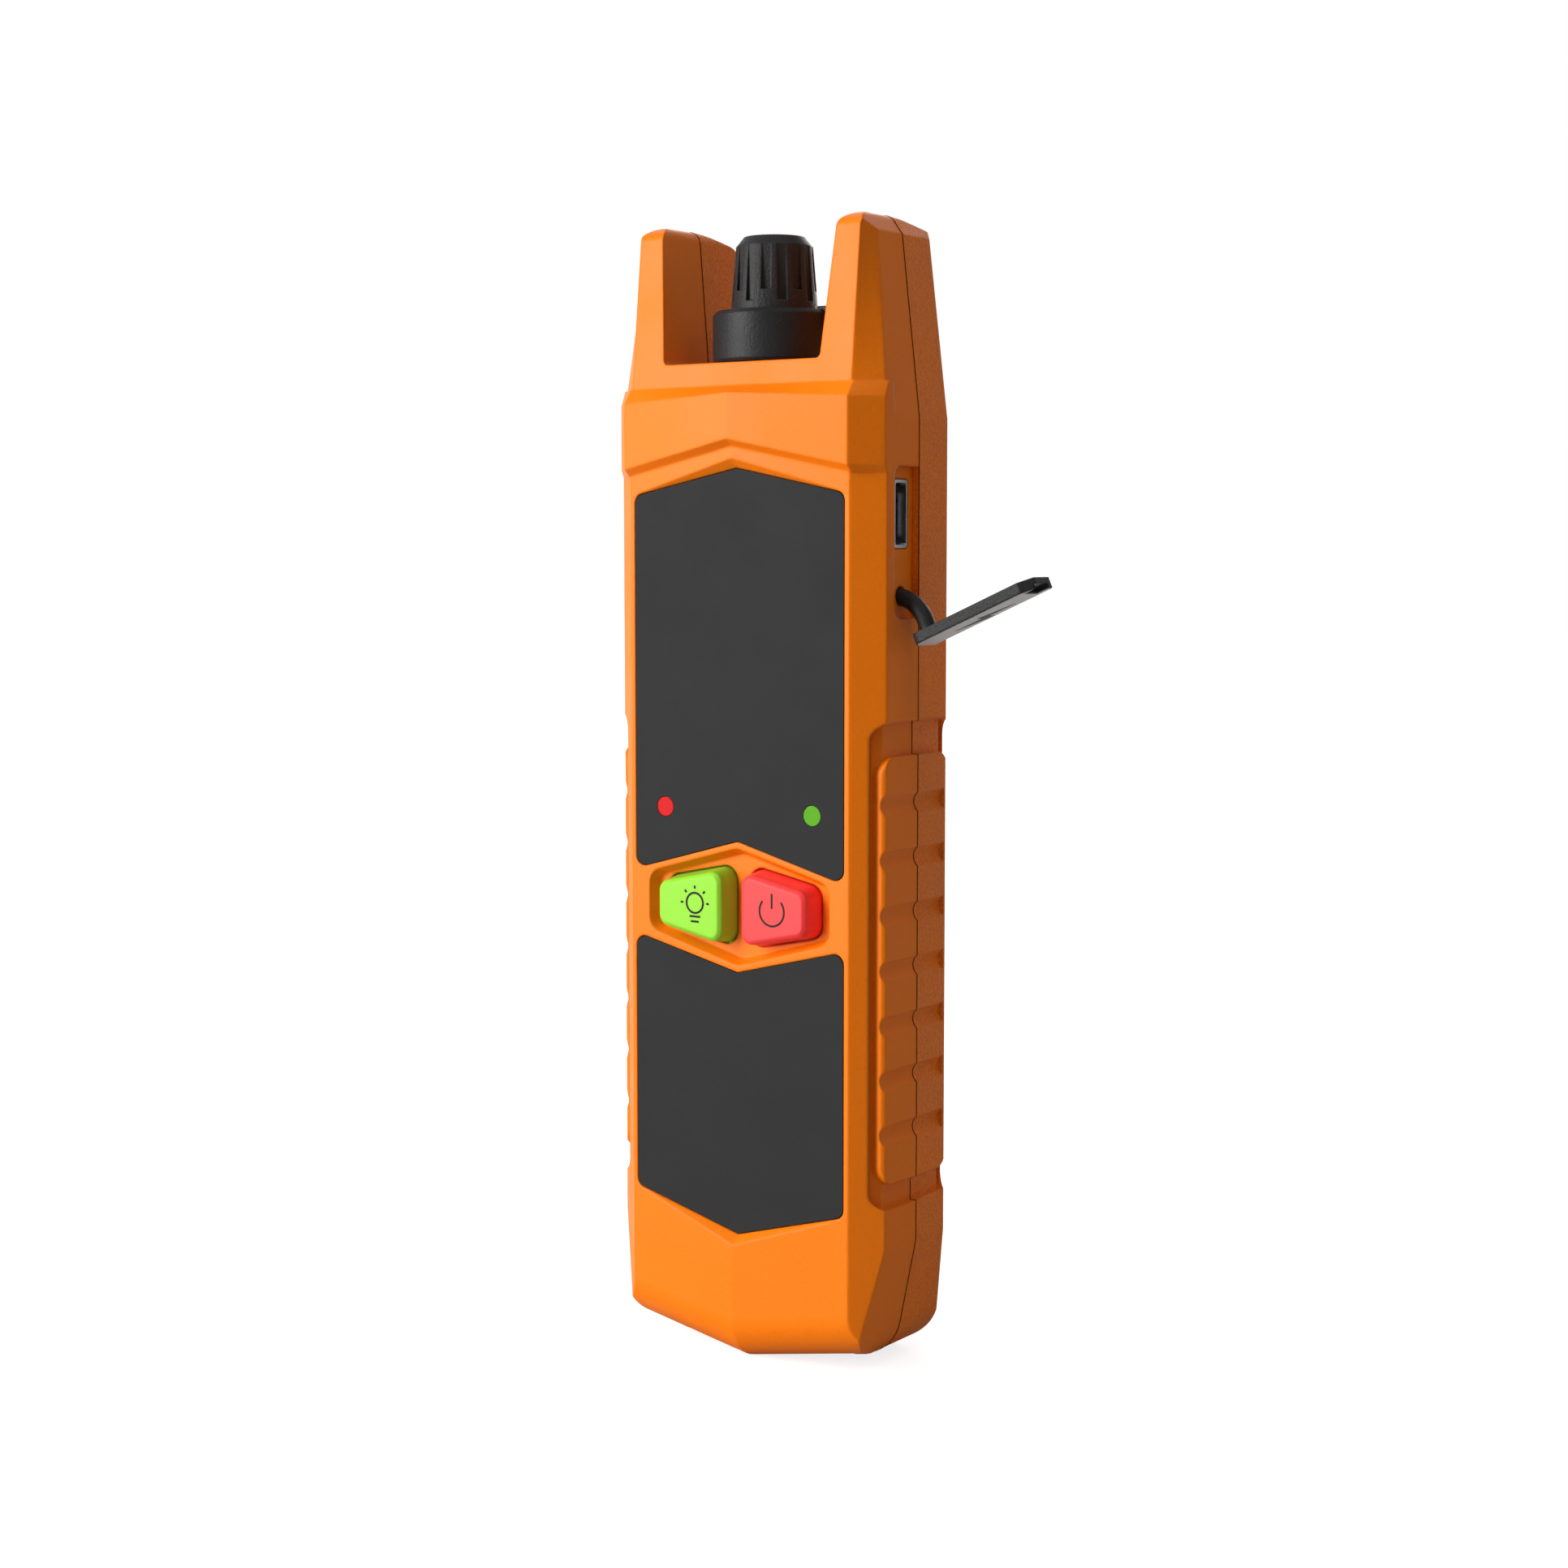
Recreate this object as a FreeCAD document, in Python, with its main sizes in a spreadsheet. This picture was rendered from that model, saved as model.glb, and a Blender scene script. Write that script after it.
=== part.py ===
"""Handheld visual fault locator, in millimetres.

Frame: +Z is up, -Y is the label side and the origin is the centre of the flat base.
The parting plane between the two shells is Y = 0. The port cover stands open.
"""
import FreeCAD, Part
import math
import os
import Sketcher

doc = FreeCAD.newDocument("visual_fault_locator")
sheet = doc.addObject("Spreadsheet::Sheet", "Sizes")
SIZES = {
    # ---- Housing, overall -------------------------------------------------------
    "body_length": 129.0,
    "half_width": 18.05,
    "front_depth": 9.3,
    "rear_depth": 9.1,
    "front_half": 14.9,
    "front_facet": 2.75,
    "rear_half": 15.0,
    "rear_facet": 3.1,
    "wall": 2.2,
    "wall_slant_face": 0.45,
    "wall_slant_side": 0.4,
    # ---- Foot -------------------------------------------------------------------
    "base_half": 10.95,
    "foot_half": 15.4,
    "foot_rise": 2.0,
    "taper_start": 14.6,
    "foot_round": 5.6,
    "toe_round": 5.0,
    "toe_lip": 0.8,
    "toe_lift": 0.161,
    "toe_slope": 0.25,
    "toe_line": 4.1,
    "heel_round": 4.0,
    "heel_lean": 1.0,
    "well_half": 12.4,
    "well_floor_half": 7.4,
    "well_floor": 3.9,
    "well_shoulder": 7.4,
    "well_top": 18.0,
    "well_wall": 3.3,
    "roof": 2.6,
    # ---- Head: two horns and the notch between them -----------------------------
    "notch_floor": 113.1,
    "notch_half": 10.6,
    "notch_draft": 1.3,
    "notch_round": 0.6,
    "head_start": 106.8,
    "head_half": 15.5,
    "head_front_half": 14.9,
    "head_front_facet": 2.2,
    "head_rear_half": 13.6,
    "head_rear_lean": 1.0,
    "head_rear_facet": 2.4,
    "horn_bevel": 1.3,
    "horn_slope": 1.4,
    "horn_round": 1.6,
    "head_lean": 2.3,
    "dome_drop_front": 1.0,
    "dome_drop_rear": 1.6,
    "dome_round_front": 1.5,
    "dome_round_top": 4.0,
    "dome_round_middle": 10.0,
    "dome_round_rear": 3.0,
    "dome_front_peak": 5.0,
    "dome_rear_peak": 0.5,
    "dome_edge_height": 8.0,
    "dome_edge_lean": 0.5,
    # ---- Raised belt and prow ---------------------------------------------------
    "belt_rise": 2.15,
    "belt_side_rise": 0.82,
    "belt_half": 15.15,
    "belt_top": 109.6,
    "belt_top_side": 108.8,
    "belt_ledge": 110.5,
    "belt_bottom": 104.5,
    "belt_drop": 3.1,
    "belt_step": 0.75,
    "belt_facet_rise": 0.4,
    "belt_root": 1.5,
    "prow_rise": 1.1,
    "prow_root": 0.4,
    # ---- Label panels -----------------------------------------------------------
    "label_half": 14.25,
    "label_thickness": 0.5,
    "label_gap": 0.1,
    "label_round": 1.2,
    "lip_draft": 42,
    "upper_label_top": 98.4,
    "upper_label_peak": 101.3,
    "upper_label_bottom": 55.7,
    "upper_label_notch": 59.6,
    "lower_label_top": 48.1,
    "lower_label_notch": 44.6,
    "lower_label_bottom": 18.5,
    "lower_label_peak": 14.6,
    # ---- Button island ----------------------------------------------------------
    "island_centre": 52.1,
    "island_half": 12.45,
    "island_side": 3.5,
    "island_peak": 6.7,
    "island_depth": 1.3,
    "island_draft": 28,
    "button_inner": 1.0,
    "button_outer": 10.5,
    "button_inner_rise": 4.7,
    "button_outer_rise": 2.7,
    "button_round": 1.7,
    "button_bevel": 0.35,
    "button_taper": 9,
    "button_stand": 1.5,
    "button_travel": 0.6,
    "button_clearance": 0.2,
    "button_flange": 0.8,
    "flange_lip": 0.7,
    "stem_radius": 1.6,
    "stem_seat": 0.05,
    # ---- Indicators -------------------------------------------------------------
    "light_spacing": 20.2,
    "light_height": 63.0,
    "light_radius": 1.13,
    "light_clearance": 0.05,
    "light_flange": 0.6,
    # ---- Grip -------------------------------------------------------------------
    "grip_top": 73.4,
    "grip_bottom": 19.1,
    "grip_band_top": 3.8,
    "grip_band_bottom": 2.8,
    "grip_band_side": 0.8,
    "grip_front": 7.7,
    "grip_rear": 7.2,
    "grip_depth": 0.8,
    "grip_round": 2.0,
    "scallop_count": 7,
    "scallop_pitch": 6.12,
    "scallop_first": 27.6,
    "scallop_height": 2.2,
    "scallop_depth": 0.55,
    "scallop_front": 6.9,
    "scallop_rear": 5.6,
    # ---- Port and its cover -----------------------------------------------------
    "port_bottom": 84.7,
    "port_length": 16.7,
    "port_width": 5.0,
    "port_depth": 0.8,
    "port_round": 1.2,
    "slot_height": 96.2,
    "slot_offset": 2.5,
    "receptacle_width": 7.5,
    "receptacle_thickness": 2.9,
    "receptacle_length": 5.6,
    "receptacle_wall": 0.35,
    "receptacle_round": 0.5,
    "mouth_round": 0.3,
    "receptacle_clearance": 0.1,
    "tongue_thickness": 0.6,
    "tongue_width": 4.7,
    "tongue_length": 3.9,
    "tongue_shift": 0.3,
    "tongue_round": 0.1,
    "tether_height": 87.2,
    "tether_radius": 0.95,
    "tether_clearance": 0.1,
    "tether_bend": 4.5,
    "tether_foot": 1.7,
    "tether_bead": 1.7,
    "tether_bead_length": 1.0,
    "cover_clearance": 0.15,
    "lid_round": 0.35,
    "lid_corner": 1.2,
    "lid_corner_length": 1.55,
    "cover_angle": 66.5,
    "pivot_inset": 1.205,
    "pivot_drop": 2.62,
    "lid_thickness": 1.2,
    "hinge_gap": 0.4,
    "nail_notch": 0.5,
    "nail_width": 2.6,
    "nail_length": 1.5,
    # ---- Connector and dust cap -------------------------------------------------
    "axis_depth": 1.9,
    "collar_radius": 7.0,
    "collar_height": 5.9,
    "collar_bevel": 0.45,
    "lug_reach": 8.3,
    "lug_width": 3.0,
    "lug_root": 5.8,
    "lug_height": 2.4,
    "lug_stand": 0.4,
    "barrel_radius": 3.1,
    "barrel_stand": 4.6,
    "barrel_bore": 1.65,
    "barrel_flange": 5.2,
    "barrel_flange_height": 0.8,
    "barrel_clearance": 0.05,
    "sleeve_bore": 1.25,
    "sleeve_length": 8.0,
    "sleeve_sink": 0.4,
    "cap_radius": 4.95,
    "cap_shoulder_radius": 4.35,
    "cap_top_radius": 3.45,
    "cap_shoulder": 7.2,
    "cap_height": 8.3,
    "cap_fit": 0.08,
    "cap_crown": 1.2,
    "flute_pairs": 8,
    "flute_width": 1.05,
    "flute_depth": 0.45,
    "flute_start": 1.0,
    "flute_short_start": 2.2,
    # ---- Inside -----------------------------------------------------------------
    "board_thickness": 1.2,
    "board_half": 13.4,
    "board_bottom": 31.0,
    "board_top": 101.6,
    "board_cutout": 5.2,
    "board_cutout_bottom": 84.0,
    "switch_side": 4.6,
    "switch_height": 2.6,
    "plunger_radius": 1.1,
    "plunger_height": 0.5,
    "laser_radius": 3.9,
    "laser_length": 15.5,
    "laser_neck_radius": 1.5,
    "laser_window_depth": 4.6,
    "cell_half": 12.0,
    "cell_bottom": 34.0,
    "cell_length": 42.0,
    "cell_thickness": 4.6,
    "cell_round": 1.2,
    "pad_thickness": 0.5,
    "pad_margin": 2.5,
    "torch_offset": 8.75,
    "torch_radius": 1.45,
    "torch_height": 4.2,
    "torch_bevel": 0.7,
    "torch_flange": 0.45,
    "torch_clearance": 0.05,
    # ---- Fastening --------------------------------------------------------------
    "screw_offset": 13.0,
    "screw_low": 24.6,
    "screw_high": 105.3,
    "screw_radius": 1.0,
    "screw_length": 9.0,
    "screw_head_radius": 1.8,
    "screw_head_height": 1.3,
    "screw_sink": 2.2,
    "screw_socket": 0.55,
    "screw_socket_depth": 0.8,
    "screw_clearance": 0.15,
    "thread_gap": 0.02,
    "boss_radius": 2.6,
    "post_radius": 1.55,
    "boss_root": 0.2,
    "pilot_spare": 0.65,
    "seal_width": 0.7,
    "seal_depth": 0.8,
    "seal_inset": 1.1,
    "seal_slant_side": 0.6,
    "seal_slant_base": 0.4,
}
for row, (alias, number) in enumerate(SIZES.items(), start=1):
    sheet.set("A%d" % row, alias)
    sheet.set("B%d" % row, str(number))
    sheet.setAlias("B%d" % row, alias)
doc.recompute()


def amount(text):
    """The number that an expression stands for now."""
    found = sheet.evalExpression(str(text))
    return float(getattr(found, "Value", found))


def vec(x, y):
    return FreeCAD.Vector(x, y, 0)


def make_body(name):
    body = doc.addObject("PartDesign::Body", name)
    body.Label = name
    return body


def make_sketch(body, name, role, offset="0"):
    """An empty sketch on one of the body's own planes, moved along its normal."""
    sketch = body.newObject("Sketcher::SketchObject", name)
    plane = [f for f in body.Origin.OriginFeatures if f.Role == role][0]
    sketch.AttachmentSupport = [(plane, "")]
    sketch.MapMode = "FlatFace"
    sketch.AttachmentOffset = FreeCAD.Placement(
        FreeCAD.Vector(0, 0, amount(offset)), FreeCAD.Rotation())
    sketch.setExpression("AttachmentOffset.Base.z", str(offset))
    return sketch


def bind(sketch, number, expression):
    sketch.setExpression("Constraints[%d]" % number, expression)


def pin(sketch, element, end, x, y):
    """Holds one point of the sketch at two expressions."""
    first = sketch.addConstraint(
        Sketcher.Constraint("DistanceX", -1, 1, element, end, amount(x)))
    bind(sketch, first, x)
    second = sketch.addConstraint(
        Sketcher.Constraint("DistanceY", -1, 1, element, end, amount(y)))
    bind(sketch, second, y)


def corner_points(before, here, after, radius):
    """Tangent points and arc middle of a rounded corner."""
    u = (before - here).normalize()
    v = (after - here).normalize()
    half = u.getAngle(v) / 2
    reach = radius / math.tan(half)
    centre = here + (u + v).normalize() * (radius / math.sin(half))
    middle = centre + (here - centre).normalize() * radius
    return here + u * reach, middle, here + v * reach


def add_loop(sketch, corners):
    """A closed outline. A corner is (x, y) or (x, y, radius), all expressions."""
    count = len(corners)
    points = [vec(amount(c[0]), amount(c[1])) for c in corners]
    marks = []
    for i, corner in enumerate(corners):
        if len(corner) == 2:
            marks.append((points[i], None, points[i]))
        else:
            marks.append(corner_points(points[i - 1], points[i],
                                       points[(i + 1) % count], amount(corner[2])))
    lines = [sketch.addGeometry(Part.LineSegment(marks[i][2], marks[(i + 1) % count][0]))
             for i in range(count)]
    for i, corner in enumerate(corners):
        before = lines[i - 1]
        after = lines[i]
        if len(corner) == 2:
            sketch.addConstraint(Sketcher.Constraint("Coincident", before, 2, after, 1))
            pin(sketch, after, 1, corner[0], corner[1])
            continue
        arc = sketch.addGeometry(Part.Arc(*marks[i]))
        start = sketch.getPoint(arc, 1)
        first, last = (1, 2) if start.distanceToPoint(marks[i][0]) < 1e-6 else (2, 1)
        tip = sketch.addGeometry(Part.Point(points[i]), True)
        pin(sketch, tip, 1, corner[0], corner[1])
        sketch.addConstraint(Sketcher.Constraint("PointOnObject", tip, 1, before))
        sketch.addConstraint(Sketcher.Constraint("PointOnObject", tip, 1, after))
        sketch.addConstraint(Sketcher.Constraint("Tangent", before, 2, arc, first))
        sketch.addConstraint(Sketcher.Constraint("Tangent", arc, last, after, 1))
        rounding = sketch.addConstraint(Sketcher.Constraint("Radius", arc, amount(corner[2])))
        bind(sketch, rounding, corner[2])


def add_circle(sketch, x, y, radius):
    circle = sketch.addGeometry(
        Part.Circle(vec(amount(x), amount(y)), FreeCAD.Vector(0, 0, 1), amount(radius)))
    pin(sketch, circle, 3, x, y)
    rounding = sketch.addConstraint(Sketcher.Constraint("Radius", circle, amount(radius)))
    bind(sketch, rounding, radius)


def outline(body, name, role, loops, offset="0"):
    sketch = make_sketch(body, name, role, offset)
    for loop in loops:
        add_loop(sketch, loop)
    return sketch


def circles(body, name, role, rounds, offset="0"):
    sketch = make_sketch(body, name, role, offset)
    for x, y, radius in rounds:
        add_circle(sketch, x, y, radius)
    return sketch


def extrude(body, kind, sketch, length, reverse=False, both=False, taper=None):
    """A Pad or Pocket of a stated length along the sketch's normal."""
    feature = body.newObject("PartDesign::" + kind, sketch.Name + "_" + kind.lower())
    feature.Profile = sketch
    feature.Type = "Length"
    feature.Length = amount(length)
    feature.setExpression("Length", length)
    feature.Reversed = reverse
    if both:
        feature.SideType = "Symmetric"
    if taper is not None:
        feature.TaperAngle = amount(taper)
        feature.setExpression("TaperAngle", taper)
    sketch.Visibility = False
    doc.recompute()
    return feature


def mirrored(points):
    """Right half from the top down, given; adds the left half from the bottom up."""
    left = [("-(%s)" % p[0],) + tuple(p[1:]) for p in reversed(points) if p[0] != "0"]
    return points + left


S = "Sizes."


def e(text):
    """Writes sheet names in full: a leading $ stands for the sheet."""
    return text.replace("$", S)


def es(points):
    return [tuple(e(t) for t in p) for p in points]


# ---- Outlines that the two shells share -------------------------------------
def silhouette():
    """Front view of the housing, clockwise from the right of the notch."""
    return mirrored(es([
        ("$notch_half", "$notch_floor", "$notch_round"),
        ("$notch_half + $notch_draft", "$body_length", "$horn_round"),
        ("$head_half - $horn_bevel", "$body_length", "$horn_round"),
        ("$half_width + $horn_bevel",
         "$body_length - $horn_slope * ($half_width - $head_half + 2 * $horn_bevel)"),
        ("$half_width + $horn_bevel", "$taper_start"),
        ("$half_width", "$taper_start"),
        ("$foot_half", "$foot_rise", "$foot_round"),
        ("$base_half", "0"),
    ]))


def bounds():
    """A frame well outside the housing, for pockets that keep an outline."""
    return es([("-$body_length", "-$half_width"), ("$body_length", "-$half_width"),
               ("$body_length", "2 * $body_length"), ("-$body_length", "2 * $body_length")])


def keep(body, name, role, loop):
    """Cuts away all that lies outside a loop, right through the body."""
    frame = bounds()
    if role == "XY_Plane":
        frame = es([("-$body_length", "-$body_length"), ("$body_length", "-$body_length"),
                    ("$body_length", "$body_length"), ("-$body_length", "$body_length")])
    return extrude(body, "Pocket", outline(body, name, role, [frame, loop]),
                   e("4 * $body_length"), both=True)


def half_plan(way, side, flat, depth, facet, inset="0", overlap="0"):
    """Plan of one half of the housing, set in by a wall; way -1 is the label side."""
    rim = "(%s - %s)" % (side, inset)
    face = "(%s - $wall_slant_face * %s)" % (flat, inset)
    deep = "%d * (%s - %s)" % (way, depth, inset)
    shoulder = "%d * (%s - %s - $wall_slant_side * %s)" % (way, depth, facet, inset)
    edge = "%d * %s" % (-way, overlap)
    return es([
        ("-" + rim, edge), (rim, edge), (rim, shoulder),
        (face, deep), ("-" + face, deep), ("-" + rim, shoulder),
    ])


def front_section(inset="0", overlap="0"):
    return half_plan(-1, "$half_width", "$front_half", "$front_depth", "$front_facet",
                     inset, overlap)


def rear_section(inset="0", overlap="0"):
    return half_plan(1, "$half_width", "$rear_half", "$rear_depth", "$rear_facet",
                     inset, overlap)


def front_crown():
    return half_plan(-1, "$head_half", "$head_front_half", "($front_depth - $head_lean)",
                     "$head_front_facet")


def rear_crown():
    return half_plan(1, "$head_half", "$head_rear_half", "($rear_depth - $head_rear_lean)",
                     "$head_rear_facet")


def raise_half(body, plan, crown):
    """One half of the housing: a prism up to the head, and a head that narrows upwards."""
    foot = outline(body, body.Name + "_plan", "XY_Plane", [plan()])
    extrude(body, "Pad", foot, e("$head_start"))
    neck = outline(body, body.Name + "_neck", "XY_Plane", [plan()], e("$head_start"))
    top = outline(body, body.Name + "_crown", "XY_Plane", [crown()], e("$body_length"))
    head = body.newObject("PartDesign::AdditiveLoft", body.Name + "_head")
    head.Profile = neck
    head.Sections = [top]
    head.Ruled = True
    body.Tip = head
    doc.recompute()


LEAN = "$head_lean * ($belt_ledge - $head_start) / ($body_length - $head_start)"


def profile():
    """Side view: the loop stays outside the prow and belt, then follows the dome and heel."""
    return es([
        ("-2 * $front_depth", "-$wall"), ("-2 * $front_depth", "$belt_ledge"),
        ("-$front_depth - $belt_rise", "$belt_ledge"),
        ("-$front_depth + $head_lean", "$body_length - $dome_drop_front",
         "$dome_round_front"),
        ("-$dome_front_peak", "$body_length", "$dome_round_top"),
        ("$dome_rear_peak", "$body_length", "$dome_round_middle"),
        ("$rear_depth - $head_rear_lean", "$body_length - $dome_drop_rear",
         "$dome_round_rear"),
        ("$rear_depth - $head_rear_lean + $dome_edge_lean", "$body_length - $dome_edge_height"),
        ("2 * $rear_depth", "$body_length - $dome_edge_height"),
        ("2 * $rear_depth", "$taper_start"), ("$rear_depth", "$taper_start"),
        ("$rear_depth - $heel_lean", "$foot_rise", "$heel_round"),
        ("$rear_depth - $heel_round", "-$wall"),
    ])


def round_toe(body):
    """Rounds the toe along its swept, rising edges and bevels the underside behind them."""
    nose = "-($front_depth + $prow_rise)"
    sketch = outline(body, body.Name + "_toe", "YZ_Plane", [es([
        (nose + " - $toe_round", "-3 * $toe_round"), ("2 * $front_depth", "-3 * $toe_round"),
        ("2 * $front_depth", "$toe_lip - $toe_slope * (3 * $front_depth + $prow_rise)"),
        (nose, "$toe_lip", "$toe_round"),
        (nose, "$toe_lip + $toe_line"),
        (nose + " - $toe_round", "$toe_lip + $toe_line + $toe_round"),
    ])])
    cut = body.newObject("PartDesign::Pocket", body.Name + "_toe_cut")
    cut.Profile = sketch
    cut.UseCustomVector = True
    sweep = e("-$prow_rise / $front_half")
    cut.Direction = FreeCAD.Vector(-1, amount(sweep), -amount(e("$toe_lift")))
    cut.setExpression("Direction.y", sweep)
    cut.setExpression("Direction.z", e("-$toe_lift"))
    cut.AlongSketchNormal = False
    cut.Type = "Length"
    cut.Length = amount(e("1.5 * $half_width"))
    cut.setExpression("Length", e("1.5 * $half_width"))
    cut.Reversed = True
    sketch.Visibility = False
    doc.recompute()
    pair = body.newObject("PartDesign::Mirrored", body.Name + "_toe_pair")
    pair.Originals = [cut]
    pair.MirrorPlane = ([f for f in body.Origin.OriginFeatures if f.Role == "YZ_Plane"][0], [""])
    body.Tip = pair
    doc.recompute()


def grip_loop(step):
    """Side view of the grip field: step 0 is the channel's rim and step 1 the pad's."""
    low = "%d * $grip_band_bottom" % step
    high = "%d * $grip_band_top" % step
    side = "%d * $grip_band_side" % step
    return es([
        ("-$grip_front + " + side, "$grip_bottom + " + low, "$grip_round"),
        ("$grip_rear - " + side, "$grip_bottom + " + low, "$grip_round"),
        ("$grip_rear - " + side, "$grip_top - " + high, "$grip_round"),
        ("-$grip_front + " + side, "$grip_top - " + high, "$grip_round"),
    ])


def cut_grips(body, half, way):
    """Channel, pad and scallops of the grip on both sides of one shell."""
    channel = outline(body, body.Name + "_channel", "YZ_Plane", [grip_loop(0), grip_loop(1)])
    extrude(body, "Pocket", channel, e("4 * $half_width"), both=True)
    core = outline(body, body.Name + "_core", "XY_Plane", [half(e("$grip_depth"))],
                   e("$grip_bottom - $grip_depth"))
    extrude(body, "Pad", core, e("$grip_top - $grip_bottom + 2 * $grip_depth"))
    radius = "(($scallop_height ^ 2 / 4 + $scallop_depth ^ 2) / (2 * $scallop_depth))"
    centre = "($half_width - $scallop_depth + %s)" % radius
    groove = circles(body, body.Name + "_scallop", "XZ_Plane",
                     es([(centre, "$scallop_first", radius),
                         ("-" + centre, "$scallop_first", radius)]))
    reach = "$scallop_front" if way < 0 else "$scallop_rear"
    cut = extrude(body, "Pocket", groove, e(reach), reverse=way < 0)
    pattern = body.newObject("PartDesign::LinearPattern", body.Name + "_scallops")
    pattern.Originals = [cut]
    axis = [f for f in body.Origin.OriginFeatures if f.Role == "Z_Axis"][0]
    pattern.Direction = (axis, [""])
    pattern.Length = amount(e("$scallop_pitch * ($scallop_count - 1)"))
    pattern.setExpression("Length", e("$scallop_pitch * ($scallop_count - 1)"))
    pattern.Occurrences = int(amount(e("$scallop_count")))
    pattern.setExpression("Occurrences", e("$scallop_count"))
    body.Tip = pattern
    doc.recompute()


CAVITY_TOP = "($notch_floor - $roof)"
CAVITY_LOW = "$well_top"


def cut_cavity(body, half, depth, way):
    """The hollow of one shell: a main space that follows the facets and a foot well."""
    room = outline(body, body.Name + "_room", "XY_Plane", [half(e("$wall"), e("$wall"))],
                   e(CAVITY_LOW))
    extrude(body, "Pocket", room, e(CAVITY_TOP + " - " + CAVITY_LOW), reverse=True)
    well = outline(body, body.Name + "_well", "XZ_Plane", [mirrored(es([
        ("$well_half", CAVITY_LOW + " + $wall"),
        ("$well_half", "$well_shoulder"), ("$well_floor_half", "$well_floor"),
    ]))])
    extrude(body, "Pocket", well, e(depth + " - $well_wall"), reverse=way < 0)


def screw_places(radius):
    return es([("%s$screw_offset" % sign, level, radius)
               for level in ("$screw_low", "$screw_high") for sign in ("", "-")])


# ---- Front shell ------------------------------------------------------------
front = make_body("front_shell")
raise_half(front, front_section, front_crown)


def prow(name, low, high):
    """A shallow V on the front, between two heights."""
    wedge = outline(front, name, "XY_Plane", [es([
        ("-$front_half", "-$front_depth"), ("0", "-$front_depth - $prow_rise"),
        ("$front_half", "-$front_depth"),
        ("$front_half - $prow_root", "-$front_depth + $prow_root"),
        ("-$front_half + $prow_root", "-$front_depth + $prow_root"),
    ])], e(low))
    extrude(front, "Pad", wedge, e("%s - (%s)" % (high, low)))


prow("chin", "0", "$lower_label_bottom")
prow("brow", "$upper_label_top", "$belt_bottom")


def belt_section(name, offset, face, rise, step, top, drop):
    """One cross-section of the raised belt: ledge, crest and step over a face at a depth."""
    return outline(front, name, "YZ_Plane", [es([
        ("-%s + $belt_root" % face, "$belt_ledge"),
        ("-%s + %s" % (face, LEAN), "$belt_ledge"),
        ("-%s - %s" % (face, rise), top),
        ("-%s - %s" % (face, rise), "$belt_bottom - " + drop),
        ("-%s - %s" % (face, step), "$belt_bottom - %s - $belt_step" % drop),
        ("-%s + $belt_root" % face, "$belt_bottom - %s - $belt_step" % drop),
    ])], e(offset))


crest = belt_section("belt_crest", "0", "$front_depth", "$belt_rise", "$prow_rise",
                     "$belt_top", "0")
flank = belt_section("belt_flank", "$belt_half", "$front_depth", "$belt_side_rise", "0",
                     "$belt_top_side", "$belt_drop")
fade = belt_section("belt_fade", "$half_width", "($front_depth - $front_facet)",
                    "$belt_facet_rise", "0", "$belt_top_side", "$belt_drop")
belt = front.newObject("PartDesign::AdditiveLoft", "belt")
belt.Profile = crest
belt.Sections = [flank, fade]
belt.Ruled = True
doc.recompute()
belt_pair = front.newObject("PartDesign::Mirrored", "belt_pair")
belt_pair.Originals = [belt]
belt_pair.MirrorPlane = ([f for f in front.Origin.OriginFeatures if f.Role == "YZ_Plane"][0],
                         [""])
front.Tip = belt_pair
doc.recompute()
keep(front, "front_view", "XZ_Plane", silhouette())
keep(front, "side_view", "YZ_Plane", profile())
round_toe(front)

def edge_names(shape, test):
    """Names of the edges whose middle passes a test."""
    return ["Edge%d" % (i + 1) for i, edge in enumerate(shape.Edges)
            if test(edge.CenterOfMass, edge)]


def dress(body, kind, name, base, edges, radius):
    """A Fillet or Chamfer on named edges of the last feature."""
    feature = body.newObject("PartDesign::" + kind, name)
    feature.Base = (base, edges)
    mark = "Radius" if kind == "Fillet" else "Size"
    setattr(feature, mark, amount(radius))
    feature.setExpression(mark, radius)
    body.Tip = feature
    doc.recompute()
    return feature


cut_grips(front, front_section, -1)
cut_cavity(front, front_section, "$front_depth", -1)


# ---- Label panels and their recesses ----------------------------------------
def upper_loop(grow):
    half = "$label_half + " + grow
    return es([
        ("0", "$upper_label_peak + " + grow, "$label_round"),
        (half, "$upper_label_top + " + grow, "$label_round"),
        (half, "$upper_label_bottom - " + grow, "$label_round"),
        ("0", "$upper_label_notch - " + grow, "$label_round"),
        ("-(%s)" % half, "$upper_label_bottom - " + grow, "$label_round"),
        ("-(%s)" % half, "$upper_label_top + " + grow, "$label_round"),
    ])


def lower_loop(grow):
    half = "$label_half + " + grow
    return es([
        ("0", "$lower_label_notch + " + grow),
        (half, "$lower_label_top + " + grow, "$label_round"),
        (half, "$lower_label_bottom - " + grow, "$label_round"),
        ("0", "$lower_label_peak - " + grow),
        ("-(%s)" % half, "$lower_label_bottom - " + grow, "$label_round"),
        ("-(%s)" % half, "$lower_label_top + " + grow, "$label_round"),
    ])


LIGHTS = [("-$light_spacing / 2", "$light_height"), ("$light_spacing / 2", "$light_height")]
LABEL_BED = "$front_depth - $label_thickness"
for title, loop in (("upper", upper_loop), ("lower", lower_loop)):
    bed = outline(front, title + "_bed", "XZ_Plane", [loop("$label_gap")], e(LABEL_BED))
    extrude(front, "Pocket", bed, e("$front_depth"), reverse=True)
    lip = outline(front, title + "_lip", "XZ_Plane", [loop("$label_gap")], e("$front_depth"))
    extrude(front, "Pocket", lip, e("$prow_rise"), reverse=True, taper=e("$lip_draft"))

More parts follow.
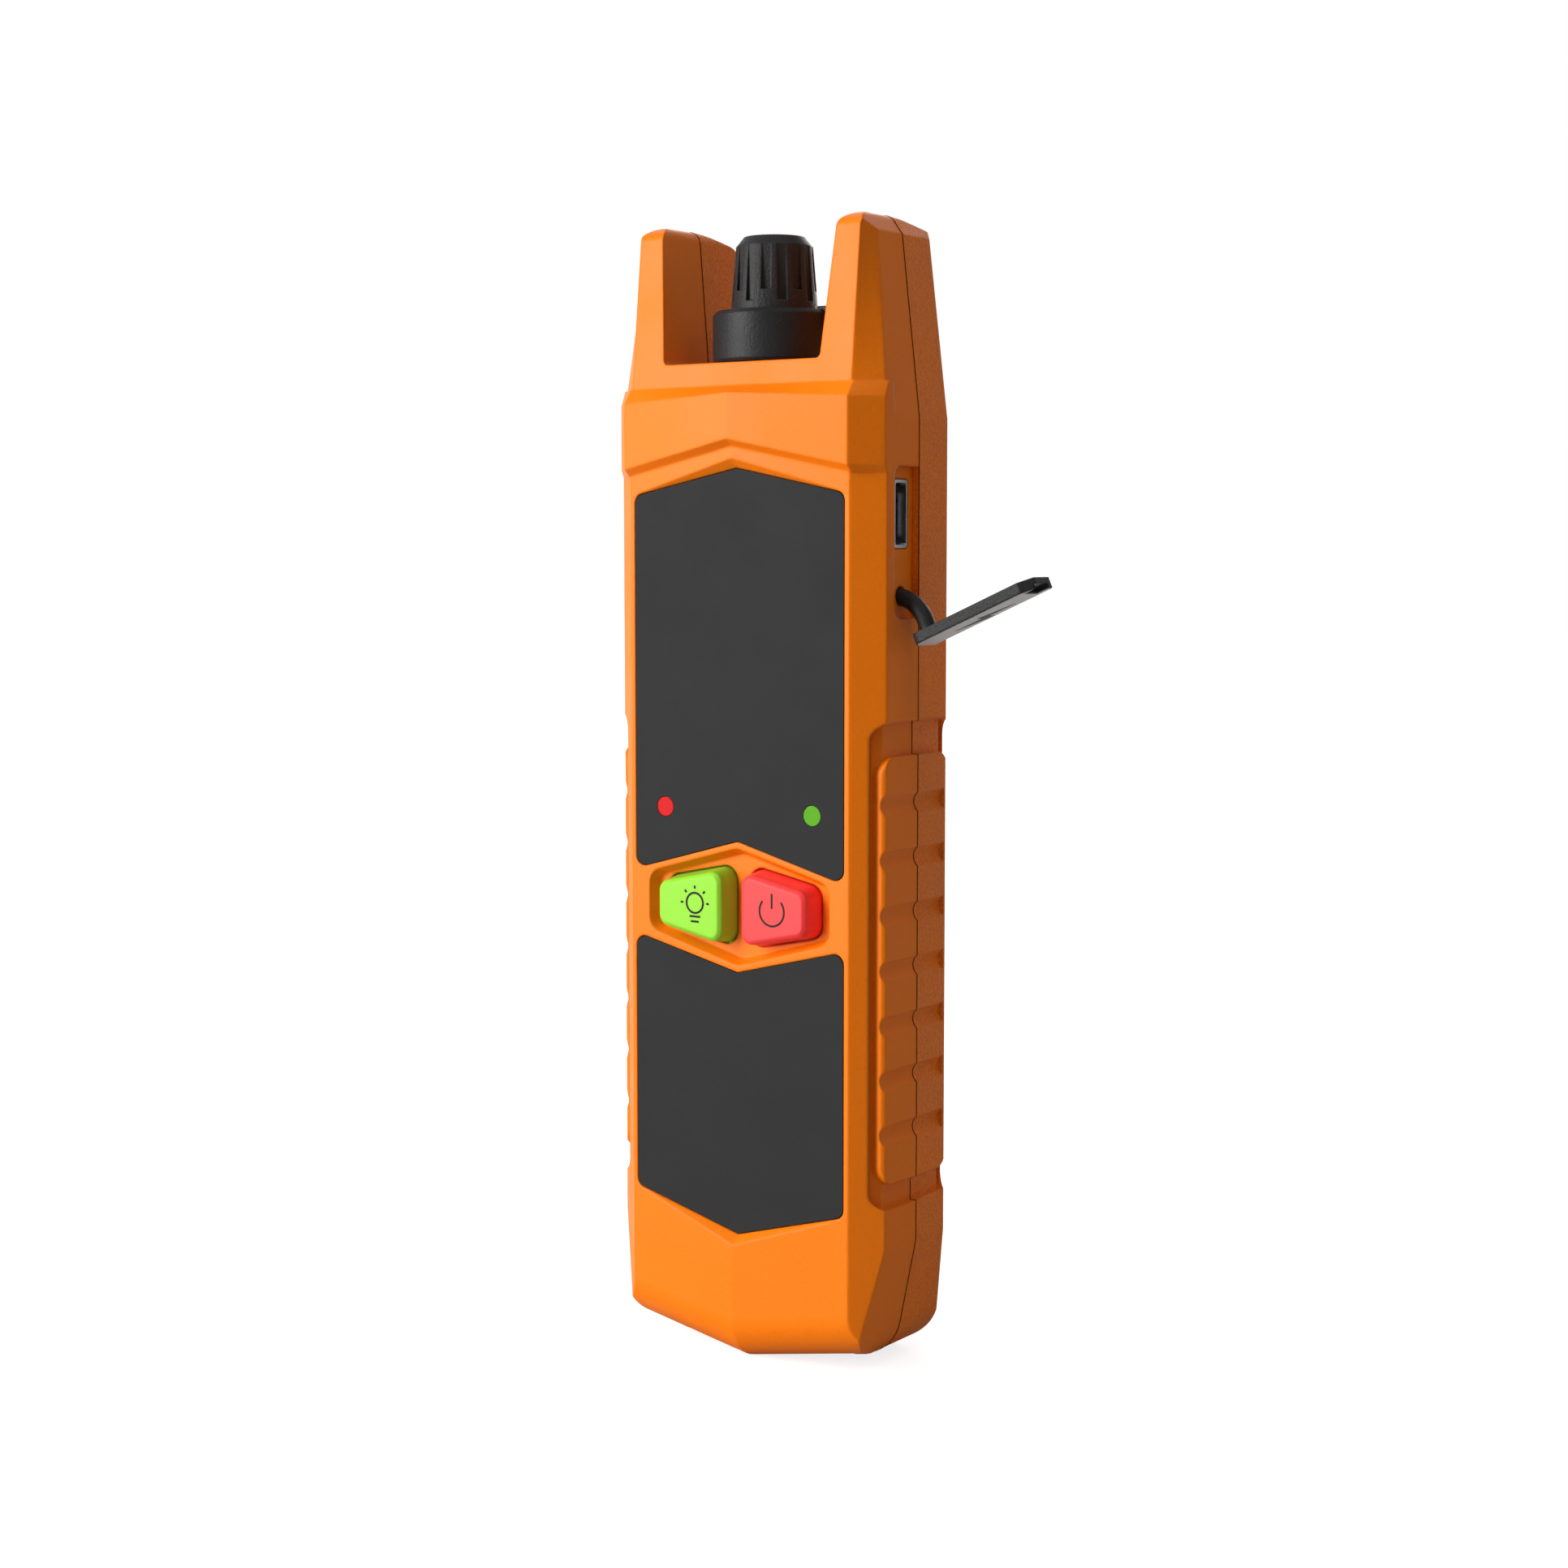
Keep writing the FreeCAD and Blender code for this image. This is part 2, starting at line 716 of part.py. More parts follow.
upper_label = make_body("upper_label")
face = outline(upper_label, "upper_face", "XZ_Plane", [upper_loop("0")], e(LABEL_BED))
for x, z in LIGHTS:
    add_circle(face, e(x), e(z), e("$light_radius + $light_clearance"))
extrude(upper_label, "Pad", face, e("$label_thickness"))
lower_label = make_body("lower_label")
extrude(lower_label, "Pad", outline(lower_label, "lower_face", "XZ_Plane", [lower_loop("0")],
                                    e(LABEL_BED)), e("$label_thickness"))

# ---- Button island ----------------------------------------------------------
ISLAND = "$front_depth - $island_depth"
SLOPE = "$island_depth * tan($island_draft * 1 deg)"
floor_loop = es([
    ("0", "$island_centre + $island_peak - " + SLOPE, "$button_round"),
    ("$island_half - " + SLOPE, "$island_centre + $island_side - " + SLOPE, "$label_round"),
    ("$island_half - " + SLOPE, "$island_centre - $island_side + " + SLOPE, "$label_round"),
    ("0", "$island_centre - $island_peak + " + SLOPE, "$button_round"),
    ("-$island_half + " + SLOPE, "$island_centre - $island_side + " + SLOPE, "$label_round"),
    ("-$island_half + " + SLOPE, "$island_centre + $island_side - " + SLOPE, "$label_round"),
])
island = outline(front, "island", "XZ_Plane", [floor_loop], e(ISLAND))
extrude(front, "Pocket", island, e("$island_depth"), reverse=True, taper=e("$island_draft"))


def button_loop(side, grow):
    """A button's outline on one side (-1 left, 1 right), tall towards the middle."""
    inner = "%d * ($button_inner - %s)" % (side, grow)
    outer = "%d * ($button_outer + %s)" % (side, grow)
    radius = "$button_round"
    return es([
        (inner, "$island_centre + $button_inner_rise + " + grow, radius),
        (outer, "$island_centre + $button_outer_rise + " + grow, radius),
        (outer, "$island_centre - $button_outer_rise - " + grow, radius),
        (inner, "$island_centre - $button_inner_rise - " + grow, radius),
    ])


for side in (-1, 1):
    window = outline(front, "window_%s" % ("left" if side < 0 else "right"), "XZ_Plane",
                     [button_loop(side, "$button_clearance")], e(ISLAND))
    extrude(front, "Pocket", window, e("$wall"))

STEM_X = "($button_inner + $button_outer) / 2"
BOARD_FACE = "($slot_offset - $receptacle_thickness / 2)"
SWITCH_TOP = "(%s + $switch_height + $plunger_height)" % BOARD_FACE


def add_button(name, side):
    body = make_body(name)
    skirt = outline(body, name + "_skirt", "XZ_Plane", [button_loop(side, "0")],
                    e("$front_depth - $wall"))
    extrude(body, "Pad", skirt, e("$wall - $island_depth"))
    crown = outline(body, name + "_crown", "XZ_Plane", [button_loop(side, "0")], e(ISLAND))
    top = extrude(body, "Pad", crown, e("$island_depth + $button_stand"),
                  taper=e("-$button_taper"))
    rim = edge_names(top.Shape, lambda m, g: abs(
        m.y + amount(e("$front_depth + $button_stand"))) < 0.01)
    dress(body, "Chamfer", name + "_rim", top, rim, e("$button_bevel"))
    flange = outline(body, name + "_flange", "XZ_Plane", [button_loop(side, "$flange_lip")],
                     e("$front_depth - $wall"))
    extrude(body, "Pad", flange, e("$button_flange"), reverse=True)
    stem = circles(body, name + "_stem", "XZ_Plane",
                   [(e("%d * " % side + STEM_X), e("$island_centre"), e("$stem_radius"))],
                   e(SWITCH_TOP + " + $button_travel + $stem_seat"))
    extrude(body, "Pad", stem, e("$front_depth - $wall - %s - $button_travel - $stem_seat"
                                 % SWITCH_TOP))
    return body


torch_button = add_button("torch_button", -1)
laser_button = add_button("laser_button", 1)

# ---- Indicators: light pipes with a flange behind the wall ------------------
for name, (x, z) in zip(("charge_light", "laser_light"), LIGHTS):
    hole = circles(front, name + "_hole", "XZ_Plane",
                   [(e(x), e(z), e("$light_radius + $light_clearance"))])
    extrude(front, "Pocket", hole, e("2 * $front_depth"), reverse=True)
    pipe = make_body(name)
    rod = circles(pipe, name + "_rod", "XZ_Plane", [(e(x), e(z), e("$light_radius"))],
                  e("$front_depth - $wall"))
    extrude(pipe, "Pad", rod, e("$wall"))
    foot = circles(pipe, name + "_foot", "XZ_Plane",
                   [(e(x), e(z), e("$light_radius + $light_flange"))],
                   e("$front_depth - $wall - $light_flange"))
    extrude(pipe, "Pad", foot, e("$light_flange"))

# ---- Board, switches and receptacle -----------------------------------------
main_board = make_body("main_board")
plate = outline(main_board, "board_plan", "XZ_Plane", [es([
    ("-$board_half", "$board_bottom"), ("$board_half", "$board_bottom"),
    ("$board_half", "$board_top"), ("$board_cutout", "$board_top"),
    ("$board_cutout", "$board_cutout_bottom"), ("-$board_cutout", "$board_cutout_bottom"),
    ("-$board_cutout", "$board_top"), ("-$board_half", "$board_top"),
])], e(BOARD_FACE))
extrude(main_board, "Pad", plate, e("$board_thickness"), reverse=True)

for name, side in (("torch_switch", -1), ("laser_switch", 1)):
    switch = make_body(name)
    x = "%d * " % side + STEM_X
    case = outline(switch, name + "_case", "XZ_Plane", [es([
        (x + " - $switch_side / 2", "$island_centre - $switch_side / 2"),
        (x + " + $switch_side / 2", "$island_centre - $switch_side / 2"),
        (x + " + $switch_side / 2", "$island_centre + $switch_side / 2"),
        (x + " - $switch_side / 2", "$island_centre + $switch_side / 2"),
    ])], e(BOARD_FACE))
    extrude(switch, "Pad", case, e("$switch_height"))
    plunger = circles(switch, name + "_plunger", "XZ_Plane",
                      [(e(x), e("$island_centre"), e("$plunger_radius"))],
                      e(BOARD_FACE + " + $switch_height"))
    extrude(switch, "Pad", plunger, e("$plunger_height"))


def block(y, z, width, height, radius):
    """A rounded rectangle about a centre, for side-view sketches."""
    return es([
        ("%s - %s / 2" % (y, width), "%s - %s / 2" % (z, height), radius),
        ("%s + %s / 2" % (y, width), "%s - %s / 2" % (z, height), radius),
        ("%s + %s / 2" % (y, width), "%s + %s / 2" % (z, height), radius),
        ("%s - %s / 2" % (y, width), "%s + %s / 2" % (z, height), radius),
    ])


PORT_FLOOR = "$half_width - $port_depth"
receptacle = make_body("usb_receptacle")
can = outline(receptacle, "can", "YZ_Plane", [block(
    "-$slot_offset", "$slot_height", "$receptacle_thickness", "$receptacle_width",
    "$receptacle_round")], e(PORT_FLOOR))
extrude(receptacle, "Pad", can, e("$receptacle_length"), reverse=True)
mouth = outline(receptacle, "mouth", "YZ_Plane", [block(
    "-$slot_offset", "$slot_height", "($receptacle_thickness - 2 * $receptacle_wall)",
    "($receptacle_width - 2 * $receptacle_wall)", "$mouth_round")], e(PORT_FLOOR))
extrude(receptacle, "Pocket", mouth, e("$receptacle_length - 2 * $receptacle_wall"))
tongue = outline(receptacle, "tongue", "YZ_Plane", [block(
    "-$slot_offset + $tongue_shift", "$slot_height", "$tongue_thickness",
    "$tongue_width", "$tongue_round")],
    e(PORT_FLOOR + " - $receptacle_length + $receptacle_wall"))
extrude(receptacle, "Pad", tongue, e("$tongue_length"))

# ---- Port recess in the front shell -----------------------------------------
port = outline(front, "port", "YZ_Plane", [es([
    ("-$port_width", "$port_bottom", "$port_round"), ("$wall", "$port_bottom"),
    ("$wall", "$port_bottom + $port_length"),
    ("-$port_width", "$port_bottom + $port_length", "$port_round"),
])], e(PORT_FLOOR))
extrude(front, "Pocket", port, e("$front_depth"), reverse=True)
socket = outline(front, "socket", "YZ_Plane", [block(
    "-$slot_offset", "$slot_height", "($receptacle_thickness + 2 * $receptacle_clearance)",
    "($receptacle_width + 2 * $receptacle_clearance)", "$receptacle_round")], e(PORT_FLOOR))
extrude(front, "Pocket", socket, e("$wall"))
eyelet = circles(front, "eyelet", "YZ_Plane",
                 [(e("-$slot_offset"), e("$tether_height"),
                   e("$tether_radius + $tether_clearance"))], e(PORT_FLOOR))
extrude(front, "Pocket", eyelet, e("$wall"))

# ---- Port cover, drawn shut about its pivot and then turned open ------------
PIVOT_X = "($half_width - $pivot_inset)"
PIVOT_Z = "($port_bottom - $pivot_drop)"
INNER_FACE = "($pivot_inset - $port_depth)"
cover = make_body("port_cover")
LID_END = "($pivot_drop + $port_length - $cover_clearance)"
LID_HALF = "($port_width / 2 - $cover_clearance)"
lid = outline(cover, "lid", "YZ_Plane", [es([
    ("-" + LID_HALF, "$pivot_drop + $hinge_gap", "$port_round"),
    (LID_HALF, "$pivot_drop + $hinge_gap", "$lid_round"),
    (LID_HALF, LID_END, "$lid_round"),
    ("-%s + $lid_corner" % LID_HALF, LID_END),
    ("-" + LID_HALF, LID_END + " - $lid_corner_length"),
])], e(INNER_FACE))
extrude(cover, "Pad", lid, e("$lid_thickness"))
nail = outline(cover, "nail", "YZ_Plane", [es([
    ("-$nail_width / 2", LID_END + " - $nail_length"),
    ("$nail_width / 2", LID_END + " - $nail_length"),
    ("$nail_width / 2", LID_END + " + $nail_length"),
    ("-$nail_width / 2", LID_END + " + $nail_length"),
])], e(INNER_FACE + " + $lid_thickness - $nail_notch"))
extrude(cover, "Pocket", nail, e("$lid_thickness"), reverse=True)
cover.Placement = FreeCAD.Placement(
    FreeCAD.Vector(amount(e(PIVOT_X)), -amount(e("$slot_offset")), amount(e(PIVOT_Z))),
    FreeCAD.Rotation(FreeCAD.Vector(0, 1, 0), amount(e("$cover_angle"))))
cover.setExpression("Placement.Base.x", e(PIVOT_X))
cover.setExpression("Placement.Base.y", e("-$slot_offset"))
cover.setExpression("Placement.Base.z", e(PIVOT_Z))
cover.setExpression("Placement.Rotation.Angle", e("$cover_angle"))

# ---- Tether: a bent strap with a bead behind the wall -----------------------
tether = make_body("cover_tether")
ANGLE = "($cover_angle * 1 deg)"
FOOT = "($pivot_drop + $tether_foot)"
END_X = "(%s + %s * cos%s + %s * sin%s)" % (PIVOT_X, INNER_FACE, ANGLE, FOOT, ANGLE)
END_Z = "(%s - %s * sin%s + %s * cos%s)" % (PIVOT_Z, INNER_FACE, ANGLE, FOOT, ANGLE)
DROP = "($tether_height - %s)" % END_Z
TAIL = "((%s - $tether_bend * (1 - cos%s)) / sin%s)" % (DROP, ANGLE, ANGLE)
BEND_X = "(%s - $tether_bend * sin%s - %s * cos%s)" % (END_X, ANGLE, TAIL, ANGLE)
WALL_X = "($half_width - $wall)"
path = make_sketch(tether, "tether_path", "XZ_Plane")
x0, x1, x2 = amount(e(WALL_X)), amount(e(BEND_X)), amount(e(END_X))
z0, z2 = amount(e("$tether_height")), amount(e(END_Z))
bend, turn = amount(e("$tether_bend")), math.radians(amount(e("$cover_angle")))
start = vec(x1, z0)
middle = vec(x1 + bend * math.sin(turn / 2), z0 - bend * (1 - math.cos(turn / 2)))
finish = vec(x1 + bend * math.sin(turn), z0 - bend * (1 - math.cos(turn)))
run = path.addGeometry(Part.LineSegment(vec(x0, z0), start))
arc = path.addGeometry(Part.Arc(start, middle, finish))
tail = path.addGeometry(Part.LineSegment(finish, vec(x2, z2)))
first, last = (1, 2) if path.getPoint(arc, 1).distanceToPoint(start) < 1e-6 else (2, 1)
pin(path, run, 1, e(WALL_X), e("$tether_height"))
pin(path, tail, 2, e(END_X), e(END_Z))
path.addConstraint(Sketcher.Constraint("Horizontal", run))
path.addConstraint(Sketcher.Constraint("Tangent", run, 2, arc, first))
path.addConstraint(Sketcher.Constraint("Tangent", arc, last, tail, 1))
bind(path, path.addConstraint(Sketcher.Constraint("Radius", arc, bend)), e("$tether_bend"))
ring = circles(tether, "tether_ring", "YZ_Plane",
               [(e("-$slot_offset"), e("$tether_height"), e("$tether_radius"))], e(WALL_X))
path.AttachmentOffset = FreeCAD.Placement(
    FreeCAD.Vector(0, 0, amount(e("$slot_offset"))), FreeCAD.Rotation())
path.setExpression("AttachmentOffset.Base.z", e("$slot_offset"))
doc.recompute()
pipe = tether.newObject("PartDesign::AdditivePipe", "tether_pipe")
pipe.Profile = ring
pipe.Spine = path
tether.Tip = pipe
doc.recompute()
bead = circles(tether, "tether_bead", "YZ_Plane",
               [(e("-$slot_offset"), e("$tether_height"), e("$tether_bead"))], e(WALL_X))
extrude(tether, "Pad", bead, e("$tether_bead_length"), reverse=True)

# ---- Posts under the board, screw bosses and pilot holes in the front shell --
posts = circles(front, "posts", "XZ_Plane", es([
    ("%s($board_half - $boss_radius)" % sign, level, "$post_radius")
    for level in ("$board_bottom + $boss_radius", "$board_cutout_bottom - $boss_radius")
    for sign in ("", "-")]), e(BOARD_FACE))
extrude(front, "Pad", posts, e("$front_depth - $wall + $boss_root - " + BOARD_FACE))
bosses = circles(front, "front_bosses", "XZ_Plane", screw_places("$boss_radius"))
extrude(front, "Pad", bosses, e("$front_depth - $wall + $boss_root"))
SCREW_TIP = "($screw_length - ($rear_depth - $screw_sink))"
pilots = circles(front, "pilots", "XZ_Plane", screw_places("$screw_radius + $thread_gap"))
extrude(front, "Pocket", pilots, e(SCREW_TIP + " + $pilot_spare"), reverse=True)

# ---- Rear shell -------------------------------------------------------------
rear = make_body("rear_shell")
raise_half(rear, rear_section, rear_crown)
keep(rear, "rear_front_view", "XZ_Plane", silhouette())
keep(rear, "rear_side_view", "YZ_Plane", profile())
round_toe(rear)
cut_grips(rear, rear_section, 1)
cut_cavity(rear, rear_section, "$rear_depth", 1)
towers = circles(rear, "rear_bosses", "XZ_Plane", screw_places("$boss_radius"))
extrude(rear, "Pad", towers, e("$rear_depth - $wall + $boss_root"), reverse=True)
shanks = circles(rear, "shank_holes", "XZ_Plane",
                 screw_places("$screw_radius + $screw_clearance"))
extrude(rear, "Pocket", shanks, e("2 * $rear_depth"))
sinks = circles(rear, "screw_wells", "XZ_Plane",
                screw_places("$screw_head_radius + $screw_clearance"),
                e("-$rear_depth + $screw_sink"))
extrude(rear, "Pocket", sinks, e("$rear_depth"))


def seal_edge(inset):
    """One side of the seal's U, from the top right round the foot to the top left."""
    return [
        ("$half_width - " + inset, "$notch_floor - " + inset),
        ("$half_width - " + inset, "$taper_start"),
        ("$foot_half - " + inset, "$foot_rise + $seal_slant_side * " + inset),
        ("$base_half - $seal_slant_base * " + inset, inset),
    ]


SEAL_GAP = "($barrel_flange + $seal_width)"


def seal_loop():
    outer = seal_edge("$seal_inset")
    inner = seal_edge("($seal_inset + $seal_width)")
    flip = [("-(%s)" % x, z) for x, z in reversed(outer)]
    back = [("-(%s)" % x, z) for x, z in inner]
    return es([(SEAL_GAP, outer[0][1])] + outer + flip + [("-" + SEAL_GAP, outer[0][1])]
              + [("-" + SEAL_GAP, inner[0][1])] + back + list(reversed(inner))
              + [(SEAL_GAP, inner[0][1])])


groove = outline(rear, "seal_groove", "XZ_Plane", [seal_loop()])
extrude(rear, "Pocket", groove, e("$seal_depth"))
seal = make_body("shell_seal")
extrude(seal, "Pad", outline(seal, "seal_path", "XZ_Plane", [seal_loop()]),
        e("$seal_depth"), reverse=True)

# ---- Screws: one node, four solids ------------------------------------------
screws = []
for number, (x, z, radius) in enumerate(screw_places("$screw_radius")):
    screw = doc.addObject("PartDesign::Body", "screw_%d" % (number + 1))
    head = circles(screw, "screw_head_%d" % number, "XZ_Plane",
                   [(x, z, e("$screw_head_radius"))], e("-$rear_depth + $screw_sink"))
    extrude(screw, "Pad", head, e("$screw_head_height"), reverse=True)
    shank = circles(screw, "screw_shank_%d" % number, "XZ_Plane", [(x, z, radius)],
                    e("-$rear_depth + $screw_sink"))
    extrude(screw, "Pad", shank, e("$screw_length"))
    drive = circles(screw, "screw_drive_%d" % number, "XZ_Plane",
                    [(x, z, e("$screw_socket"))],
                    e("-$rear_depth + $screw_sink - $screw_head_height"))
    extrude(screw, "Pocket", drive, e("$screw_socket_depth"), reverse=True)
    screws.append(screw)
case_screws = doc.addObject("Part::Compound", "case_screws")
case_screws.Label = "case_screws"
case_screws.Links = screws
doc.recompute()

# ---- Connector: barrel, sleeve, collar, dust cap ----------------------------
AXIS = "-$axis_depth"
COLLAR_TOP = "($notch_floor + $collar_height)"
BARREL_TOP = "(%s + $barrel_stand)" % COLLAR_TOP
SLEEVE_TOP = "(%s - $sleeve_sink)" % BARREL_TOP


def round_hole(body, name, x, y, radius, top, depth):
    hole = circles(body, name, "XY_Plane", [(e(x), e(y), e(radius))], e(top))
    return extrude(body, "Pocket", hole, e(depth))


def round_pad(body, name, x, y, radius, bottom, height):
    disc = circles(body, name, "XY_Plane", [(e(x), e(y), e(radius))], e(bottom))
    return extrude(body, "Pad", disc, e(height))


for shell in (front, rear):
    round_hole(shell, shell.Name + "_connector_hole", "0", AXIS,
               "$barrel_radius + $barrel_clearance", "$notch_floor + $wall", "3 * $wall")
round_hole(front, "torch_hole", "$torch_offset", AXIS, "$torch_radius + $torch_clearance",
           "$notch_floor + $wall", "3 * $wall")

barrel = make_body("connector_barrel")
round_pad(barrel, "barrel_flange_disc", "0", AXIS, "$barrel_flange",
          CAVITY_TOP + " - $barrel_flange_height", "$barrel_flange_height")
round_pad(barrel, "barrel_tube", "0", AXIS, "$barrel_radius", CAVITY_TOP,
          BARREL_TOP + " - " + CAVITY_TOP)
round_hole(barrel, "barrel_bore_hole", "0", AXIS, "$barrel_bore", BARREL_TOP,
           BARREL_TOP + " - " + CAVITY_TOP + " + $barrel_flange_height")

sleeve = make_body("ferrule_sleeve")
round_pad(sleeve, "sleeve_tube", "0", AXIS, "$barrel_bore", SLEEVE_TOP + " - $sleeve_length",
          "$sleeve_length")
round_hole(sleeve, "sleeve_hole", "0", AXIS, "$sleeve_bore", SLEEVE_TOP, "$sleeve_length")

collar = make_body("connector_collar")
disc = round_pad(collar, "collar_disc", "0", AXIS, "$collar_radius", "$notch_floor",
                 "$collar_height")
rims = edge_names(disc.Shape, lambda m, g: len(g.Vertexes) == 1)
dress(collar, "Chamfer", "collar_rims", disc, rims, e("$collar_bevel"))
lug = outline(collar, "collar_lug", "XY_Plane", [es([
    ("$lug_root", AXIS), ("$lug_reach", AXIS),
    ("$lug_reach", AXIS + " + $lug_width"), ("$lug_root", AXIS + " + $lug_width"),
])], e(COLLAR_TOP + " + $lug_stand - $lug_height"))
extrude(collar, "Pad", lug, e("$lug_height"))
round_hole(collar, "collar_hole", "0", AXIS, "$barrel_radius + $barrel_clearance", COLLAR_TOP,
           "$collar_height")

cap = make_body("dust_cap")
cap.Placement.Base = FreeCAD.Vector(0, -amount(e("$axis_depth")), amount(e(COLLAR_TOP)))
cap.setExpression("Placement.Base.y", e(AXIS))
cap.setExpression("Placement.Base.z", e(COLLAR_TOP))
skin = outline(cap, "cap_profile", "XZ_Plane", [es([
    ("0", "0"), ("$cap_radius", "0"), ("$cap_shoulder_radius", "$cap_shoulder"),
    ("$cap_top_radius", "$cap_height"), ("0", "$cap_height"),
])])
turned = cap.newObject("PartDesign::Revolution", "cap_turn")
turned.Profile = skin
turned.ReferenceAxis = (skin, ["V_Axis"])
turned.Angle = 360
skin.Visibility = False
doc.recompute()
CAP_SLOPE = "(($cap_radius - $cap_shoulder_radius) / $cap_shoulder)"


def add_flutes(name, start, phase):
    """A ring of square grooves that follow the taper from a start height out of the top."""
    turn = "(%s * 180 deg / $flute_pairs)" % phase
    ends = []
    for place, level in (("foot", start), ("head", "$cap_height + $flute_depth")):
        deep = "($cap_radius - %s * %s - $flute_depth)" % (CAP_SLOPE, level)
        corners = [(reach, side) for reach, side in (
            (deep, "-$flute_width / 2"), ("(%s + 2 * $flute_width)" % deep, "-$flute_width / 2"),
            ("(%s + 2 * $flute_width)" % deep, "$flute_width / 2"), (deep, "$flute_width / 2"))]
        loop = es([("%s * cos%s - (%s) * sin%s" % (reach, turn, side, turn),
                    "%s * sin%s + (%s) * cos%s" % (reach, turn, side, turn))
                   for reach, side in corners])
        ends.append(outline(cap, "%s_%s" % (name, place), "XY_Plane", [loop], e(level)))
    flute = cap.newObject("PartDesign::SubtractiveLoft", name)
    flute.Profile = ends[0]
    flute.Sections = [ends[1]]
    flute.Ruled = True
    doc.recompute()
    ring = cap.newObject("PartDesign::PolarPattern", name + "_ring")
    ring.Originals = [flute]
    ring.Axis = ([f for f in cap.Origin.OriginFeatures if f.Role == "Z_Axis"][0], [""])
    ring.Angle = 360
    ring.Occurrences = int(amount(e("$flute_pairs")))
    ring.setExpression("Occurrences", e("$flute_pairs"))
    cap.Tip = ring
    doc.recompute()


add_flutes("long_flute", "$flute_start", 0)
add_flutes("short_flute", "$flute_short_start", 1)
hollow = circles(cap, "cap_hollow", "XY_Plane",
                 [("0", "0", e("$barrel_radius + $cap_fit"))], e("$cap_height - $cap_crown"))
extrude(cap, "Pocket", hollow, e("$cap_height"))

laser = make_body("laser_module")
SEAT = "(%s - $barrel_flange_height)" % CAVITY_TOP
round_pad(laser, "laser_tube", "0", AXIS, "$laser_radius", SEAT + " - $laser_length",
          "$laser_length")
round_hole(laser, "laser_window", "0", AXIS, "$laser_neck_radius", SEAT,
           "$laser_window_depth")

torch = make_body("torch_led")
bulb = round_pad(torch, "torch_bulb", "$torch_offset", AXIS, "$torch_radius",
                 CAVITY_TOP + " - $torch_flange", "$torch_height")
crown = edge_names(bulb.Shape, lambda m, g: len(g.Vertexes) == 1
                   and m.z > amount(e("$notch_floor")))
dress(torch, "Chamfer", "torch_dome", bulb, crown, e("$torch_bevel"))
round_pad(torch, "torch_rim", "$torch_offset", AXIS, "$torch_radius + $torch_flange",
          CAVITY_TOP + " - $torch_flange", "$torch_flange")

# ---- Cell and its foam pad on the rear wall ---------------------------------
REAR_WALL = "($rear_depth - $wall)"


def bay(margin):
    half = "$cell_half - " + margin
    low = "$cell_bottom + " + margin
    high = "$cell_bottom + $cell_length - " + margin
    return es([("-(%s)" % half, low, "$cell_round"), (half, low, "$cell_round"),
               (half, high, "$cell_round"), ("-(%s)" % half, high, "$cell_round")])


foam = make_body("battery_pad")
extrude(foam, "Pad", outline(foam, "pad_plan", "XZ_Plane", [bay("$pad_margin")],
                             e("-" + REAR_WALL)), e("$pad_thickness"))
cell = make_body("battery_cell")
extrude(cell, "Pad", outline(cell, "cell_plan", "XZ_Plane", [bay("0")],
                             e("-%s + $pad_thickness" % REAR_WALL)), e("$cell_thickness"))

# ---- Checks and files -------------------------------------------------------
doc.recompute()
NODES = [front, rear, upper_label, lower_label, torch_button, laser_button, main_board,
         receptacle, cover, tether, seal, case_screws, barrel, sleeve, collar, cap, laser,
         torch, foam, cell]
NODES += [doc.getObject(name) for name in
          ("charge_light", "laser_light", "torch_switch", "laser_switch")]
for thing in doc.Objects:
    if "Invalid" in thing.State or "Error" in thing.State:
        raise RuntimeError("%s did not build: %s" % (thing.Label, thing.State))
for node in NODES:
    if node.Shape.isNull() or not node.Shape.isValid() or not node.Shape.Solids:
        raise RuntimeError("%s has no valid solid" % node.Label)
os.makedirs("parts", exist_ok=True)
for node in NODES:
    node.Shape.exportStep(os.path.join("parts", node.Label + ".step"))
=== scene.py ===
"""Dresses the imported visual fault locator: finishes, key symbols, cover, seam, light and camera."""
import math

